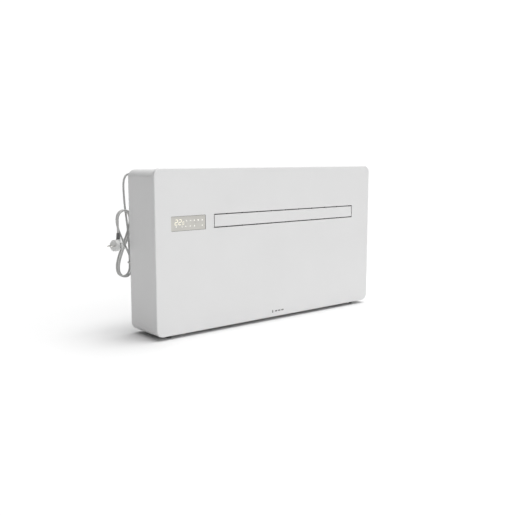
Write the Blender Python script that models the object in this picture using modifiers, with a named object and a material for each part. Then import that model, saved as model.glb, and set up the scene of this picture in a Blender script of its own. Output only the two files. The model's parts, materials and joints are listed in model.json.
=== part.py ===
"""Slim wall-hung heat recovery unit with a front outlet flap, built as an assembly of separate pieces.

Frame: origin on the floor under the middle of the casing, +Z up, the front faces -Y, the wall is at +Y.
All sizes are in metres.
"""

import math

import bmesh
import bpy
from mathutils import Matrix, Vector
from mathutils.geometry import interpolate_bezier

# ---- driving dimensions ----
WIDTH = 1.010
DEPTH = 0.165
FRONT = -DEPTH / 2
BACK = DEPTH / 2
FOOT_HEIGHT = 0.012
PANEL_BOTTOM = FOOT_HEIGHT
PANEL_HEIGHT = 0.549
PANEL_TOP = PANEL_BOTTOM + PANEL_HEIGHT
PANEL_DEPTH = 0.012
PANEL_WALL = 0.002
CORNER_RADIUS = 0.025
PANEL_EDGE_RADIUS = 0.0035
GAP = 0.0003  # between pieces that rest on each other

CASE_WALL = 0.002
CASE_HALF_WIDTH = WIDTH / 2 - 0.001
CASE_BOTTOM = PANEL_BOTTOM
CASE_TOP = PANEL_TOP - 0.006
CASE_FRONT = FRONT + PANEL_DEPTH + 0.0015

REAR_PANEL = (0.0695, 0.0715)  # its front and back faces in Y
BRACKET_Z = (0.462, 0.508)
BRACKET_HALF = 0.350
HOOK_X = 0.240

# the outlet, its flap and the display sit in one band across the panel
BAND_Z = PANEL_BOTTOM + 0.3705
OUTLET_X = 0.067
OUTLET_SIZE = (0.680, 0.0475)
FLAP_GAP = 0.003
FLAP_THICKNESS = 0.006
FLAP_PIVOT = (FRONT + 0.007, BAND_Z - 0.0158)  # Y, Z
DISPLAY_X = -0.3755
DISPLAY_Z = BAND_Z - 0.0013
DISPLAY_SIZE = (0.137, 0.049)

# supply fan: a cross-flow drum along X
DRUM_AXIS = (0.010, 0.452)  # Y, Z
DRUM_RADIUS = 0.045
DRUM_X = (-0.257, 0.394)
DRUM_BLADES = 20

# rear ducts
DUCT_X = 0.360
DUCTS = {"intake": 0.110, "exhaust": 0.275}  # Z of each duct's centre
DUCT_RADIUS = 0.0615
COLLAR_WALL = 0.003
COLLAR_Y = (0.026, BACK - 0.001)
DAMPER_Y = 0.048

# exchanger and lower chamber
CORE_CENTRE = (0.0, 0.005, 0.190)
CORE_HALF_WIDTH = 0.180
CORE_HALF_HEIGHT = 0.100
CORE_DEPTH = 0.114
CORE_PLATES = 19
DIVIDER_Z = (0.187, 0.193)
DRAIN = (-0.100, 0.072)  # X, Z of the condensate spout
FILTER_X = (-0.285, 0.185)
FILTER_HALF_DEPTH = 0.050

# mains lead
CORD_DIAMETER = 0.007
GLAND = (-0.4845, 0.538)  # X, Z
GLAND_END_Y = BACK + 0.028
PLUG_CORD = (-0.5240, 0.1245)  # X, Y of the cord where it enters the plug from above
PLUG_Z = 0.300
PLUG_FACE = 0.0216  # from the cord's axis to the pin face
PLUG_YAW = 14  # degrees the pins are turned from -X towards the front

unit = bpy.data.collections.new("heat_recovery_unit")
cutters = bpy.data.collections.new("cutters")


# ---- materials ----
def make_material(name, colour, roughness, metallic=0.0):
    material = bpy.data.materials.new(name)
    material.use_nodes = True
    shader = material.node_tree.nodes["Principled BSDF"]
    shader.inputs["Base Color"].default_value = (*colour, 1.0)
    shader.inputs["Roughness"].default_value = roughness
    shader.inputs["Metallic"].default_value = metallic
    return material


WHITE = make_material("white_enamel", (0.80, 0.80, 0.80), 0.45)
GALVANISED = make_material("galvanised_steel", (0.62, 0.64, 0.65), 0.40, 0.9)
EXCHANGER = make_material("exchanger_plastic", (0.82, 0.84, 0.85), 0.40)
FOAM = make_material("insulation_foam", (0.16, 0.16, 0.17), 0.95)
BLACK = make_material("black_plastic", (0.03, 0.03, 0.03), 0.55)
RUBBER = make_material("rubber", (0.02, 0.02, 0.02), 0.85)
GREY = make_material("grey_plastic", (0.45, 0.46, 0.47), 0.50)
LENS = make_material("display_lens", (0.60, 0.59, 0.56), 0.15)
BOARD = make_material("circuit_board", (0.03, 0.22, 0.09), 0.45)
MEDIA = make_material("filter_media", (0.72, 0.76, 0.80), 0.95)
CORD = make_material("cord_grey", (0.55, 0.55, 0.55), 0.55)
NICKEL = make_material("nickel", (0.80, 0.79, 0.76), 0.25, 1.0)


# ---- helpers ----
def clear_scene():
    for obj in list(bpy.data.objects):
        bpy.data.objects.remove(obj)
    for collection in (unit, cutters):
        bpy.context.scene.collection.children.link(collection)
    cutters.hide_render = True


def new_object(name, mesh, material=None):
    """A node when it has a material, and a cutter when it has none."""
    obj = bpy.data.objects.new(name, mesh)
    if material is None:
        cutters.objects.link(obj)
        obj.hide_render = True
        obj.display_type = "WIRE"
    else:
        unit.objects.link(obj)
        mesh.materials.append(material)
    return obj


def mesh_from(build):
    mesh = bpy.data.meshes.new("mesh")
    work = bmesh.new()
    build(work)
    bmesh.ops.recalc_face_normals(work, faces=work.faces)
    work.to_mesh(mesh)
    work.free()
    return mesh


def box(name, low, high, material=None, bevel=0.0):
    size = [h - l for l, h in zip(low, high)]
    mesh = mesh_from(lambda work: bmesh.ops.create_cube(work, size=1.0, matrix=Matrix.Diagonal((*size, 1.0))))
    obj = new_object(name, mesh, material)
    obj.location = [(l + h) / 2 for l, h in zip(low, high)]
    if bevel:
        soften(obj, bevel)
    return obj


def soften(obj, width, segments=2):
    modifier = obj.modifiers.new("soften", "BEVEL")
    modifier.width = width
    modifier.segments = segments
    modifier.limit_method = "ANGLE"
    modifier.angle_limit = math.radians(50)


AXIS_TURN = {
    "X": Matrix.Rotation(math.pi / 2, 4, "Y"),
    "Y": Matrix.Rotation(-math.pi / 2, 4, "X"),
    "Z": Matrix.Identity(4),
}


def cylinder(name, start, length, radius, axis, material=None, segments=32, end_radius=None):
    """A cylinder or cone from start along +axis."""
    end = radius if end_radius is None else end_radius
    shift = Matrix.Translation((0, 0, length / 2))
    mesh = mesh_from(
        lambda work: bmesh.ops.create_cone(
            work, cap_ends=True, segments=segments, radius1=radius, radius2=end,
            depth=length, matrix=AXIS_TURN[axis] @ shift,
        )
    )
    obj = new_object(name, mesh, material)
    obj.location = start
    shade_round(obj)
    return obj


def shade_round(obj):
    obj.data.shade_smooth()
    obj.data.set_sharp_from_angle(angle=math.radians(35))


def rounded_rectangle(half_width, low, high, radius, steps=8, centre=0.0):
    """Points round a rectangle with arc corners, anticlockwise."""
    points = []
    corners = [
        (centre + half_width - radius, high - radius, 0),
        (centre - half_width + radius, high - radius, 90),
        (centre - half_width + radius, low + radius, 180),
        (centre + half_width - radius, low + radius, 270),
    ]
    for x, z, first in corners:
        for i in range(steps + 1):
            angle = math.radians(first + 90 * i / steps)
            points.append((x + radius * math.cos(angle), z + radius * math.sin(angle)))
    return points


PLANE_TURN = {
    "XZ": Matrix.Rotation(math.pi / 2, 4, "X"),
    "YZ": Matrix.Rotation(math.pi / 2, 4, "Z") @ Matrix.Rotation(math.pi / 2, 4, "X"),
    "XY": Matrix.Identity(4),
}


def plate(name, loops, low, high, plane, material=None):
    """A flat outline, with holes where loops nest, filled between low and high across its plane."""
    curve = bpy.data.curves.new(name, "CURVE")
    curve.dimensions = "2D"
    curve.fill_mode = "BOTH"
    curve.extrude = (high - low) / 2
    for loop in loops:
        spline = curve.splines.new("POLY")
        spline.points.add(len(loop) - 1)
        spline.use_cyclic_u = True
        for point, (a, b) in zip(spline.points, loop):
            point.co = (a, b, 0, 1)
    flat = bpy.data.objects.new(name + "_outline", curve)
    middle = (low + high) / 2
    across = {"XZ": (0, middle, 0), "YZ": (middle, 0, 0), "XY": (0, 0, middle)}[plane]
    flat.matrix_world = Matrix.Translation(across) @ PLANE_TURN[plane]
    cutters.objects.link(flat)
    obj = solid_from_curve(flat, name, material)
    return obj


def solid_from_curve(source, name, material):
    """The curve object's evaluated shape as a welded mesh object in its place."""
    bpy.context.view_layer.update()
    graph = bpy.context.evaluated_depsgraph_get()
    mesh = bpy.data.meshes.new_from_object(source.evaluated_get(graph))
    work = bmesh.new()
    work.from_mesh(mesh)
    bmesh.ops.remove_doubles(work, verts=work.verts, dist=1e-5)
    bmesh.ops.recalc_face_normals(work, faces=work.faces)
    work.to_mesh(mesh)
    work.free()
    mesh.materials.clear()
    obj = new_object(name, mesh, material)
    obj.matrix_world = source.matrix_world.copy()
    bpy.data.objects.remove(source)
    return obj


def boolean(obj, other, operation):
    modifier = obj.modifiers.new(operation.lower(), "BOOLEAN")
    modifier.operation = operation
    modifier.object = other
    modifier.solver = "EXACT"


def cut(obj, *others):
    for other in others:
        boolean(obj, other, "DIFFERENCE")
    return obj


def join(obj, *others):
    """Adds others to obj. They are made as cutters, so that only obj is a node."""
    for other in others:
        boolean(obj, other, "UNION")
    return obj


def turned(name, profile, centre, axis, material=None, steps=32):
    """A profile of (radius, height) pairs turned round the axis, outer side listed from the top down."""
    mesh = bpy.data.meshes.new(name)
    mesh.from_pydata([(r, 0, h) for r, h in profile], [(i, i + 1) for i in range(len(profile) - 1)], [])
    obj = new_object(name, mesh, material)
    obj.matrix_world = Matrix.Translation(centre) @ AXIS_TURN[axis]
    screw = obj.modifiers.new("turn", "SCREW")
    screw.steps = steps
    screw.render_steps = steps
    screw.use_merge_vertices = True
    screw.merge_threshold = 0.00001
    screw.use_smooth_shade = True
    return obj


def tube(name, start, length, outer, inner, axis, material=None, segments=48):
    """A round sleeve from start along +axis."""
    profile = [(outer, length), (outer, 0), (inner, 0), (inner, length), (outer, length)]
    return turned(name, profile, start, axis, material, segments)


def bent_sheet(name, section, x_low, x_high, thickness, material):
    """A sheet that follows an open section in the YZ plane, from x_low to x_high."""

    def build(work):
        verts = [work.verts.new((x_low, y, z)) for y, z in section]
        edges = [work.edges.new(pair) for pair in zip(verts, verts[1:])]
        made = bmesh.ops.extrude_edge_only(work, edges=edges)
        moved = [item for item in made["geom"] if isinstance(item, bmesh.types.BMVert)]
        bmesh.ops.translate(work, verts=moved, vec=(x_high - x_low, 0, 0))

    obj = new_object(name, mesh_from(build), material)
    solidify = obj.modifiers.new("sheet", "SOLIDIFY")
    solidify.thickness = thickness
    solidify.offset = 0.0
    return obj


def bevel_front_edges(obj, width, segments=3):
    """Rounds the edges that lie wholly in the object's foremost face."""
    world = obj.matrix_world
    front = min((world @ v.co).y for v in obj.data.vertices)
    weights = obj.data.attributes.new("bevel_weight_edge", "FLOAT", "EDGE")
    uses = {}
    for face in obj.data.polygons:
        for key in face.edge_keys:
            uses.setdefault(key, []).append(face)
    for edge in obj.data.edges:
        in_front = all((world @ obj.data.vertices[i].co).y < front + 1e-5 for i in edge.vertices)
        faces = uses[tuple(sorted(edge.vertices))]
        is_outline = abs(faces[0].normal.dot(faces[1].normal)) < 0.5
        weights.data[edge.index].value = 1.0 if in_front and is_outline else 0.0
    modifier = obj.modifiers.new("front_edge", "BEVEL")
    modifier.limit_method = "WEIGHT"
    modifier.width = width
    modifier.segments = segments


def empty(name, location):
    pivot = bpy.data.objects.new(name, None)
    pivot.location = location
    unit.objects.link(pivot)
    return pivot


def hang_on(pivot, *objects):
    """Parents objects to an empty on their joint's axis, without moving them."""
    bpy.context.view_layer.update()
    for obj in objects:
        obj.parent = pivot
        obj.matrix_parent_inverse = pivot.matrix_world.inverted()


# ---- casing ----
def make_front_panel():
    outline = rounded_rectangle(WIDTH / 2, PANEL_BOTTOM, PANEL_TOP, CORNER_RADIUS)
    panel = plate("front_panel", [outline], FRONT, FRONT + PANEL_DEPTH, "XZ", WHITE)
    bevel_front_edges(panel, PANEL_EDGE_RADIUS)
    pocket = rounded_rectangle(
        WIDTH / 2 - PANEL_WALL, PANEL_BOTTOM + PANEL_WALL, PANEL_TOP - PANEL_WALL, CORNER_RADIUS - PANEL_WALL
    )
    past = 0.005
    half_outlet = OUTLET_SIZE[1] / 2
    outlet = rounded_rectangle(
        OUTLET_SIZE[0] / 2, BAND_Z - half_outlet, BAND_Z + half_outlet, 0.0015, 3, OUTLET_X
    )
    half_display = DISPLAY_SIZE[1] / 2
    window = rounded_rectangle(
        DISPLAY_SIZE[0] / 2, DISPLAY_Z - half_display, DISPLAY_Z + half_display, 0.0025, 3, DISPLAY_X
    )
    cut(
        panel,
        plate("cut_panel_pocket", [pocket], FRONT + PANEL_WALL, FRONT + PANEL_DEPTH + past, "XZ"),
        plate("cut_panel_outlet", [outlet], FRONT - past, FRONT + PANEL_WALL + past, "XZ"),
        plate("cut_panel_window", [window], FRONT - past, FRONT + PANEL_WALL + past, "XZ"),
    )


def make_case():
    outer = rounded_rectangle(CASE_HALF_WIDTH, CASE_BOTTOM, CASE_TOP, CORNER_RADIUS)
    inner = rounded_rectangle(
        CASE_HALF_WIDTH - CASE_WALL, CASE_BOTTOM + CASE_WALL, CASE_TOP - CASE_WALL, CORNER_RADIUS - CASE_WALL
    )
    case = plate("case_shell", [outer, inner], CASE_FRONT, BACK, "XZ", WHITE)
    intake = box(
        "cut_case_intake",
        (FILTER_X[0], -FILTER_HALF_DEPTH, CASE_BOTTOM - 0.01),
        (FILTER_X[1], FILTER_HALF_DEPTH, CASE_BOTTOM + 0.01),
    )
    cut(case, intake)


def make_rear_panel():
    inset = CASE_WALL + GAP
    outline = rounded_rectangle(
        CASE_HALF_WIDTH - inset, CASE_BOTTOM + inset, CASE_TOP - inset, CORNER_RADIUS - inset
    )
    panel = plate("rear_panel", [outline], *REAR_PANEL, "XZ", GALVANISED)
    past = 0.01
    through = REAR_PANEL[1] - REAR_PANEL[0] + 2 * past
    start = REAR_PANEL[0] - past
    for name, z in DUCTS.items():
        hole = DUCT_RADIUS + COLLAR_WALL + 0.0008
        cut(panel, cylinder(f"cut_rear_{name}", (DUCT_X, start, z), through, hole, "Y", segments=48))
    cut(panel, cylinder("cut_rear_gland", (GLAND[0], start, GLAND[1]), through, 0.0060, "Y", segments=24))
    cut(panel, cylinder("cut_rear_drain", (DRAIN[0], start, DRAIN[1]), through, 0.0090, "Y", segments=24))
    for side in (-1, 1):
        cut(panel, box(
            f"cut_rear_hook_{side}",
            (side * HOOK_X - 0.022, start, BRACKET_Z[1] - 0.015),
            (side * HOOK_X + 0.022, start + through, BRACKET_Z[1] - 0.003),
        ))


def make_wall_bracket():
    """The steel strip that is screwed to the wall; its two hooks reach through the rear panel."""
    sheet = 0.002
    low, top = BRACKET_Z
    bracket = box("wall_bracket", (-BRACKET_HALF, BACK - sheet, low), (BRACKET_HALF, BACK, top), GALVANISED)
    lip_y = REAR_PANEL[0] - 0.006
    arm_z = top - 0.010
    for side in (-1, 1):
        x_low, x_high = side * HOOK_X - 0.020, side * HOOK_X + 0.020
        join(
            bracket,
            box(
                f"join_hook_arm_{side}",
                (x_low, lip_y + 0.0005, arm_z),
                (x_high, BACK - sheet / 2, arm_z + sheet),
            ),
            box(f"join_hook_lip_{side}", (x_low, lip_y, arm_z), (x_high, lip_y + sheet, top + 0.006)),
        )
    middle = (low + top) / 2 - 0.006
    for i in range(6):
        x = (i - 2.5) * 0.130
        hole = cylinder(f"cut_bracket_hole_{i}", (x, BACK - 0.01, middle), 0.02, 0.004, "Y", segments=12)
        cut(bracket, hole)


def make_feet():
    for side, x in (("left", -0.440), ("right", 0.440)):
        for end, y in (("front", -0.045), ("rear", 0.052)):
            cylinder(f"foot_{side}_{end}", (x, y, 0), FOOT_HEIGHT - GAP, 0.0125, "Z", RUBBER, 24, 0.0145)


def make_panel_screws():
    for side, x in (("left", -0.400), ("right", 0.400)):
        head = 0.0022
        place = (x, FRONT + 0.006, PANEL_BOTTOM - GAP - head)
        cylinder(f"panel_screw_{side}", place, head, 0.0038, "Z", NICKEL, 20)


# ---- outlet and flap ----
def make_outlet_frame():
    """The rectangular sleeve behind the panel that the flap turns in."""
    reach = 0.0015
    wall = 0.0016
    half_width, half_height = OUTLET_SIZE[0] / 2 + reach, OUTLET_SIZE[1] / 2 + reach
    low, high = BAND_Z - half_height, BAND_Z + half_height
    loops = [
        rounded_rectangle(half_width + grow, low - grow, high + grow, 0.0015, 2, OUTLET_X)
        for grow in (wall, 0.0)
    ]
    frame = plate("outlet_frame", loops, FRONT + PANEL_WALL + GAP, FRONT + 0.0215, "XZ", BLACK)
    past = 0.002
    for side, x in ((-1, OUTLET_X - half_width - wall - past), (1, OUTLET_X + half_width - past)):
        hole = cylinder(f"cut_flap_pin_{side}", (x, *FLAP_PIVOT), wall + 2 * past, 0.0030, "X", segments=20)
        cut(frame, hole)
    guide_count = 9
    for i in range(guide_count):
        x = OUTLET_X + (i - (guide_count - 1) / 2) * 0.068
        join(frame, box(
            f"join_guide_{i}",
            (x - 0.0008, FRONT + 0.0165, low - 0.0005),
            (x + 0.0008, FRONT + 0.0210, high + 0.0005),
        ))


def make_flap():
    half_width = OUTLET_SIZE[0] / 2 - FLAP_GAP
    half_height = OUTLET_SIZE[1] / 2 - FLAP_GAP
    flap = box(
        "flap",
        (OUTLET_X - half_width, FRONT, BAND_Z - half_height),
        (OUTLET_X + half_width, FRONT + FLAP_THICKNESS, BAND_Z + half_height),
        WHITE,
        bevel=0.0012,
    )
    pin_out = 0.0058
    for side, x in ((-1, OUTLET_X - half_width), (1, OUTLET_X + half_width)):
        inner = x - side * 0.006
        lug = box(
            f"join_flap_lug_{side}",
            (min(x, inner) + 0.0004, FRONT + 0.004, FLAP_PIVOT[1] - 0.0042),
            (max(x, inner) - 0.0004, FLAP_PIVOT[0] + 0.0035, FLAP_PIVOT[1] + 0.0045),
        )
        start = x - pin_out if side < 0 else x - 0.004
        length = pin_out + 0.004
        pin = cylinder(f"join_flap_pin_{side}", (start, *FLAP_PIVOT), length, 0.0024, "X", segments=16)
        join(flap, lug, pin)
    hang_on(empty("flap_pivot", (OUTLET_X, *FLAP_PIVOT)), flap)


def make_flap_drive():
    frame_half = OUTLET_SIZE[0] / 2 + 0.0015 + 0.0016
    left = OUTLET_X - frame_half
    tube("flap_bush", (left - GAP - 0.0026, *FLAP_PIVOT), 0.0026, 0.0045, 0.0027, "X", BLACK, 20)
    right = OUTLET_X + frame_half + GAP
    centre = (right + 0.0022, FLAP_PIVOT[0] + 0.0085, FLAP_PIVOT[1])
    motor = cylinder("flap_motor", centre, 0.015, 0.011, "X", GREY, 28)
    plug_box = box(
        "join_flap_motor_plug",
        (centre[0] + 0.003, centre[1] + 0.008, centre[2] - 0.007),
        (centre[0] + 0.012, centre[1] + 0.0155, centre[2] + 0.007),
    )
    join(motor, plug_box)


# ---- display ----
def make_display():
    half_width, half_height = DISPLAY_SIZE[0] / 2, DISPLAY_SIZE[1] / 2
    gap = 0.0008
    recess = 0.0018
    lens = rounded_rectangle(
        half_width - gap, DISPLAY_Z - half_height + gap, DISPLAY_Z + half_height - gap, 0.002, 3, DISPLAY_X
    )
    plate("display_lens", [lens], FRONT + recess, FRONT + recess + 0.0016, "XZ", LENS)
    frame_y = FRONT + recess + 0.0016 + GAP
    low, high = DISPLAY_Z - half_height, DISPLAY_Z + half_height
    loops = [
        rounded_rectangle(half_width + grow, low - grow, high + grow, 0.002, 3, DISPLAY_X)
        for grow in (0.005, -0.003)
    ]
    plate("display_frame", loops, frame_y, frame_y + 0.009, "XZ", BLACK)
    board_y = frame_y + 0.009 + GAP
    box(
        "display_board",
        (DISPLAY_X - half_width - 0.004, board_y, DISPLAY_Z - half_height - 0.004),
        (DISPLAY_X + half_width + 0.004, board_y + 0.0016, DISPLAY_Z + half_height + 0.004),
        BOARD,
    )


# ---- supply fan ----
def drum_point(angle, radius):
    """A point round the drum's axis; the angle is from +Y towards +Z, in degrees."""
    turn = math.radians(angle)
    return DRUM_AXIS[0] + radius * math.cos(turn), DRUM_AXIS[1] + radius * math.sin(turn)


def make_scroll():
    x_low, x_high = DRUM_X[0] - 0.0055, DRUM_X[1] + 0.0055
    outlet_y = FRONT + 0.0225
    rear = [drum_point(angle, 0.0495 + 0.0145 * (70 - angle) / 170) for angle in range(70, -101, -17)]
    rear.append((outlet_y, BAND_Z - OUTLET_SIZE[1] / 2 + 0.0005))
    bent_sheet("fan_scroll", rear, x_low, x_high, 0.0018, GALVANISED)
    tongue = [
        drum_point(168, 0.0505),
        drum_point(180, 0.0490),
        drum_point(197, 0.0488),
        drum_point(208, 0.0500),
        (outlet_y, BAND_Z + OUTLET_SIZE[1] / 2 - 0.0005),
    ]
    bent_sheet("fan_tongue", tongue, x_low, x_high, 0.0018, GALVANISED)


def make_end_plates():
    for side, x in (("left", DRUM_X[0] - 0.0078), ("right", DRUM_X[1] + 0.0060)):
        outline = rounded_rectangle(0.0645, DRUM_AXIS[1] - 0.098, DRUM_AXIS[1] + 0.060, 0.012, 4, 0.0045)
        end = plate(f"fan_end_plate_{side}", [outline], x, x + 0.0018, "YZ", GALVANISED)
        cut(end, cylinder(f"cut_end_{side}", (x - 0.01, *DRUM_AXIS), 0.02, 0.0110, "X", segments=24))


def make_drum():
    """Cross-flow drum: curved blades through three discs, with a stub shaft at each end."""
    blades = []
    half_chord = math.radians(5.5)
    inner, outer, thickness = 0.0340, DRUM_RADIUS - 0.0006, 0.0007
    for i in range(DRUM_BLADES):
        turn = 2 * math.pi * i / DRUM_BLADES
        sweep = [
            (inner, turn - half_chord),
            ((inner + outer) / 2 + 0.001, turn + half_chord * 0.35),
            (outer, turn + half_chord),
        ]
        line = [Vector((r * math.cos(a), r * math.sin(a))) for r, a in sweep]
        across = [(b - a).orthogonal().normalized() * thickness for a, b in zip(line, line[1:])]
        offsets = [across[0], (across[0] + across[1]) / 2, across[1]]
        loop = [p + o for p, o in zip(line, offsets)] + [p - o for p, o in reversed(list(zip(line, offsets)))]
        blades.append([(p.x + DRUM_AXIS[0], p.y + DRUM_AXIS[1]) for p in loop])
    drum = cylinder("supply_drum", (DRUM_X[0], *DRUM_AXIS), 0.004, DRUM_RADIUS, "X", BLACK, 40)
    middle = (DRUM_X[0] + DRUM_X[1]) / 2
    join(
        drum,
        plate("join_drum_blades", blades, DRUM_X[0] + 0.001, DRUM_X[1] - 0.001, "YZ"),
        cylinder("join_drum_middle", (middle - 0.002, *DRUM_AXIS), 0.004, DRUM_RADIUS, "X", segments=40),
        cylinder("join_drum_end", (DRUM_X[1] - 0.004, *DRUM_AXIS), 0.004, DRUM_RADIUS, "X", segments=40),
        cylinder("join_drum_shaft_left", (DRUM_X[0] - 0.014, *DRUM_AXIS), 0.016, 0.004, "X", segments=16),
        cylinder("join_drum_shaft_right", (DRUM_X[1] - 0.002, *DRUM_AXIS), 0.012, 0.004, "X", segments=16),
    )
    hang_on(empty("drum_axis", (middle, *DRUM_AXIS)), drum)


def make_drum_supports():
    tube("drum_bearing", (DRUM_X[0] - 0.0180, *DRUM_AXIS), 0.0098, 0.016, 0.0045, "X", RUBBER, 24)
    motor_x = DRUM_X[1] + 0.0105
    motor = cylinder("supply_motor", (motor_x, *DRUM_AXIS), 0.062, 0.036, "X", GALVANISED, 36)
    join(motor, cylinder("join_motor_cap", (motor_x + 0.061, *DRUM_AXIS), 0.010, 0.015, "X", segments=24))
    soften(motor, 0.002, 1)
    ring = motor_x + 0.018
    cradle = tube("motor_cradle", (ring, *DRUM_AXIS), 0.022, 0.0400, 0.0365, "X", RUBBER, 36)
    foot = box(
        "join_cradle_foot",
        (ring + 0.001, DRUM_AXIS[0] - 0.020, DRUM_AXIS[1] - 0.0560),
        (ring + 0.021, DRUM_AXIS[0] + 0.020, DRUM_AXIS[1] - 0.0380),
    )
    join(cradle, foot)


# ---- exchanger, tray and dividers ----
def make_core():
    """Six-sided counterflow block whose plates stand proud of the channels between them."""
    pitch = CORE_DEPTH / CORE_PLATES
    land = 0.3
    channel = 0.965
    profile = [(0.0, CORE_DEPTH)]
    for i in reversed(range(CORE_PLATES)):
        top = (i + 1) * pitch
        profile += [(1.0, top), (1.0, top - pitch * land)]
        if i:
            profile += [(channel, top - pitch * land), (channel, i * pitch)]
    profile += [(1.0, 0.0), (0.0, 0.0)]
    core = turned("exchanger_core", profile, (0, 0, 0), "Z", EXCHANGER, steps=6)
    core.modifiers["turn"].use_smooth_shade = False
    height_scale = CORE_HALF_HEIGHT / (math.sqrt(3) / 2)
    place = Matrix.Translation((CORE_CENTRE[0], CORE_CENTRE[1] - CORE_DEPTH / 2, CORE_CENTRE[2]))
    squeeze = Matrix.Diagonal((CORE_HALF_WIDTH, 1.0, height_scale, 1.0))
    core.matrix_world = place @ squeeze @ AXIS_TURN["Y"]


def make_tray():
    low = (-0.190, -0.058, 0.0600)
    high = (0.190, 0.0660, 0.0885)
    wall = 0.002
    tray = box("condensate_tray", low, high, BLACK)
    hollow = box(
        "cut_tray",
        (low[0] + wall, low[1] + wall, low[2] + wall),
        (high[0] - wall, high[1] - wall, high[2] + 0.01),
    )
    x, z = DRAIN
    reach = BACK - 0.003 - high[1]
    spout = cylinder("join_tray_spout", (x, high[1] - 0.001, z), reach, 0.008, "Y", segments=24)
    bore = cylinder("cut_tray_spout", (x, high[1] - 0.01, z), 0.04, 0.006, "Y", segments=24)
    cut(tray, hollow)
    join(tray, spout)
    cut(tray, bore)
    rest_floor, rest_top = low[2] + wall + GAP, CORE_CENTRE[2] - CORE_HALF_HEIGHT - GAP
    for side, x in (("left", -0.085), ("right", 0.060)):
        box(
            f"core_rest_{side}",
            (x, low[1] + 0.004, rest_floor),
            (x + 0.025, high[1] - 0.004, rest_top),
            FOAM,
        )


def make_dividers():
    """Foam boards that part the four air chambers."""
    wide = CASE_HALF_WIDTH - CASE_WALL - GAP
    low_y, high_y = CASE_FRONT + 0.002, REAR_PANEL[0] - GAP
    low, high = DIVIDER_Z
    core_top = CORE_CENTRE[2] + CORE_HALF_HEIGHT + GAP
    floor, ceiling = CASE_BOTTOM + CASE_WALL + GAP, 0.3460
    box("divider_left", (-wide, low_y, low), (-0.1815, high_y, high), FOAM)
    box("divider_right", (0.1815, low_y, low), (wide, high_y, high), FOAM)
    box("divider_lower", (0.1915, low_y, floor), (0.1975, high_y, 0.0885), FOAM)
    box("divider_upper", (0.0890, low_y, core_top), (0.0950, high_y, ceiling - GAP), FOAM)
    box("chamber_ceiling", (0.0890, low_y, ceiling), (wide, high_y, ceiling + 0.004), FOAM)


# ---- filters ----
def make_extract_filter():
    """The room-air cassette: grille, frame and pleated media slide down out of the casing together."""
    gap = 0.001
    x_low, x_high = FILTER_X[0] + gap, FILTER_X[1] - gap
    half = FILTER_HALF_DEPTH - gap
    floor = CASE_BOTTOM + 0.0003
    grille_top = floor + 0.0024
    grille = box("intake_grille", (x_low, -half, floor), (x_high, half, grille_top), WHITE)
    slots, rows = 12, 4
    pitch_x = (x_high - x_low - 0.016) / slots
    pitch_y = (2 * half - 0.012) / rows
    for row in range(rows):
        y = -half + 0.006 + (row + 0.5) * pitch_y
        for column in range(slots):
            x = x_low + 0.008 + (column + 0.5) * pitch_x
            cut(grille, box(
                f"cut_grille_{row}_{column}",
                (x - pitch_x / 2 + 0.0020, y - pitch_y / 2 + 0.0020, floor - 0.01),
                (x + pitch_x / 2 - 0.0020, y + pitch_y / 2 - 0.0020, grille_top + 0.01),
            ))
    frame_low, frame_high = grille_top + GAP, grille_top + 0.020
    middle_x = (x_low + x_high) / 2
    loops = [
        rounded_rectangle((x_high - x_low) / 2 - inset, -half + inset, half - inset, 0.002, 2, middle_x)
        for inset in (0.001, 0.007)
    ]
    frame = plate("extract_filter_frame", loops, frame_low, frame_high, "XY", GREY)
    inset = 0.0082
    media = make_pleats(
        "extract_filter_media", x_low + inset, x_high - inset, frame_low + 0.002, frame_high - 0.002, 30
    )
    set_pleat_depth(media, inset - half, half - inset)
    pivot = empty("filter_slide", (middle_x, 0, floor))
    hang_on(pivot, grille, frame, media)


def make_pleats(name, x_low, x_high, z_low, z_high, count):
    """A zig-zag sheet as a closed outline in XZ."""
    sheet = 0.0009
    step = (x_high - x_low) / (2 * count)
    upper = [(x_low + i * step, (z_high if i % 2 else z_low + sheet)) for i in range(2 * count + 1)]
    lower = [(x, z - sheet) for x, z in reversed(upper)]
    return plate(name, [upper + lower], 0.0, 1.0, "XZ", MEDIA)


def set_pleat_depth(media, y_low, y_high):
    """Sets where the pleats begin and end across their folds."""
    media.data.transform(Matrix.Diagonal((1, 1, y_high - y_low, 1)))
    media.location.y = (y_low + y_high) / 2


def make_supply_filter():
    """Fine filter between the outdoor-air duct and the exchanger."""
    low, high = (0.232, -0.060, 0.0150), (0.262, 0.060, 0.1850)
    loops = [
        rounded_rectangle((high[1] - low[1]) / 2 - inset, low[2] + inset, high[2] - inset, 0.002, 2, 0.0)
        for inset in (0.0, 0.006)
    ]
    plate("supply_filter_frame", loops, low[0], high[0], "YZ", GREY)
    inset = (0.003, 0.0072, 0.0072)
    box(
        "supply_filter_media",
        [value + margin for value, margin in zip(low, inset)],
        [value - margin for value, margin in zip(high, inset)],
        MEDIA,
    )


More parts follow.
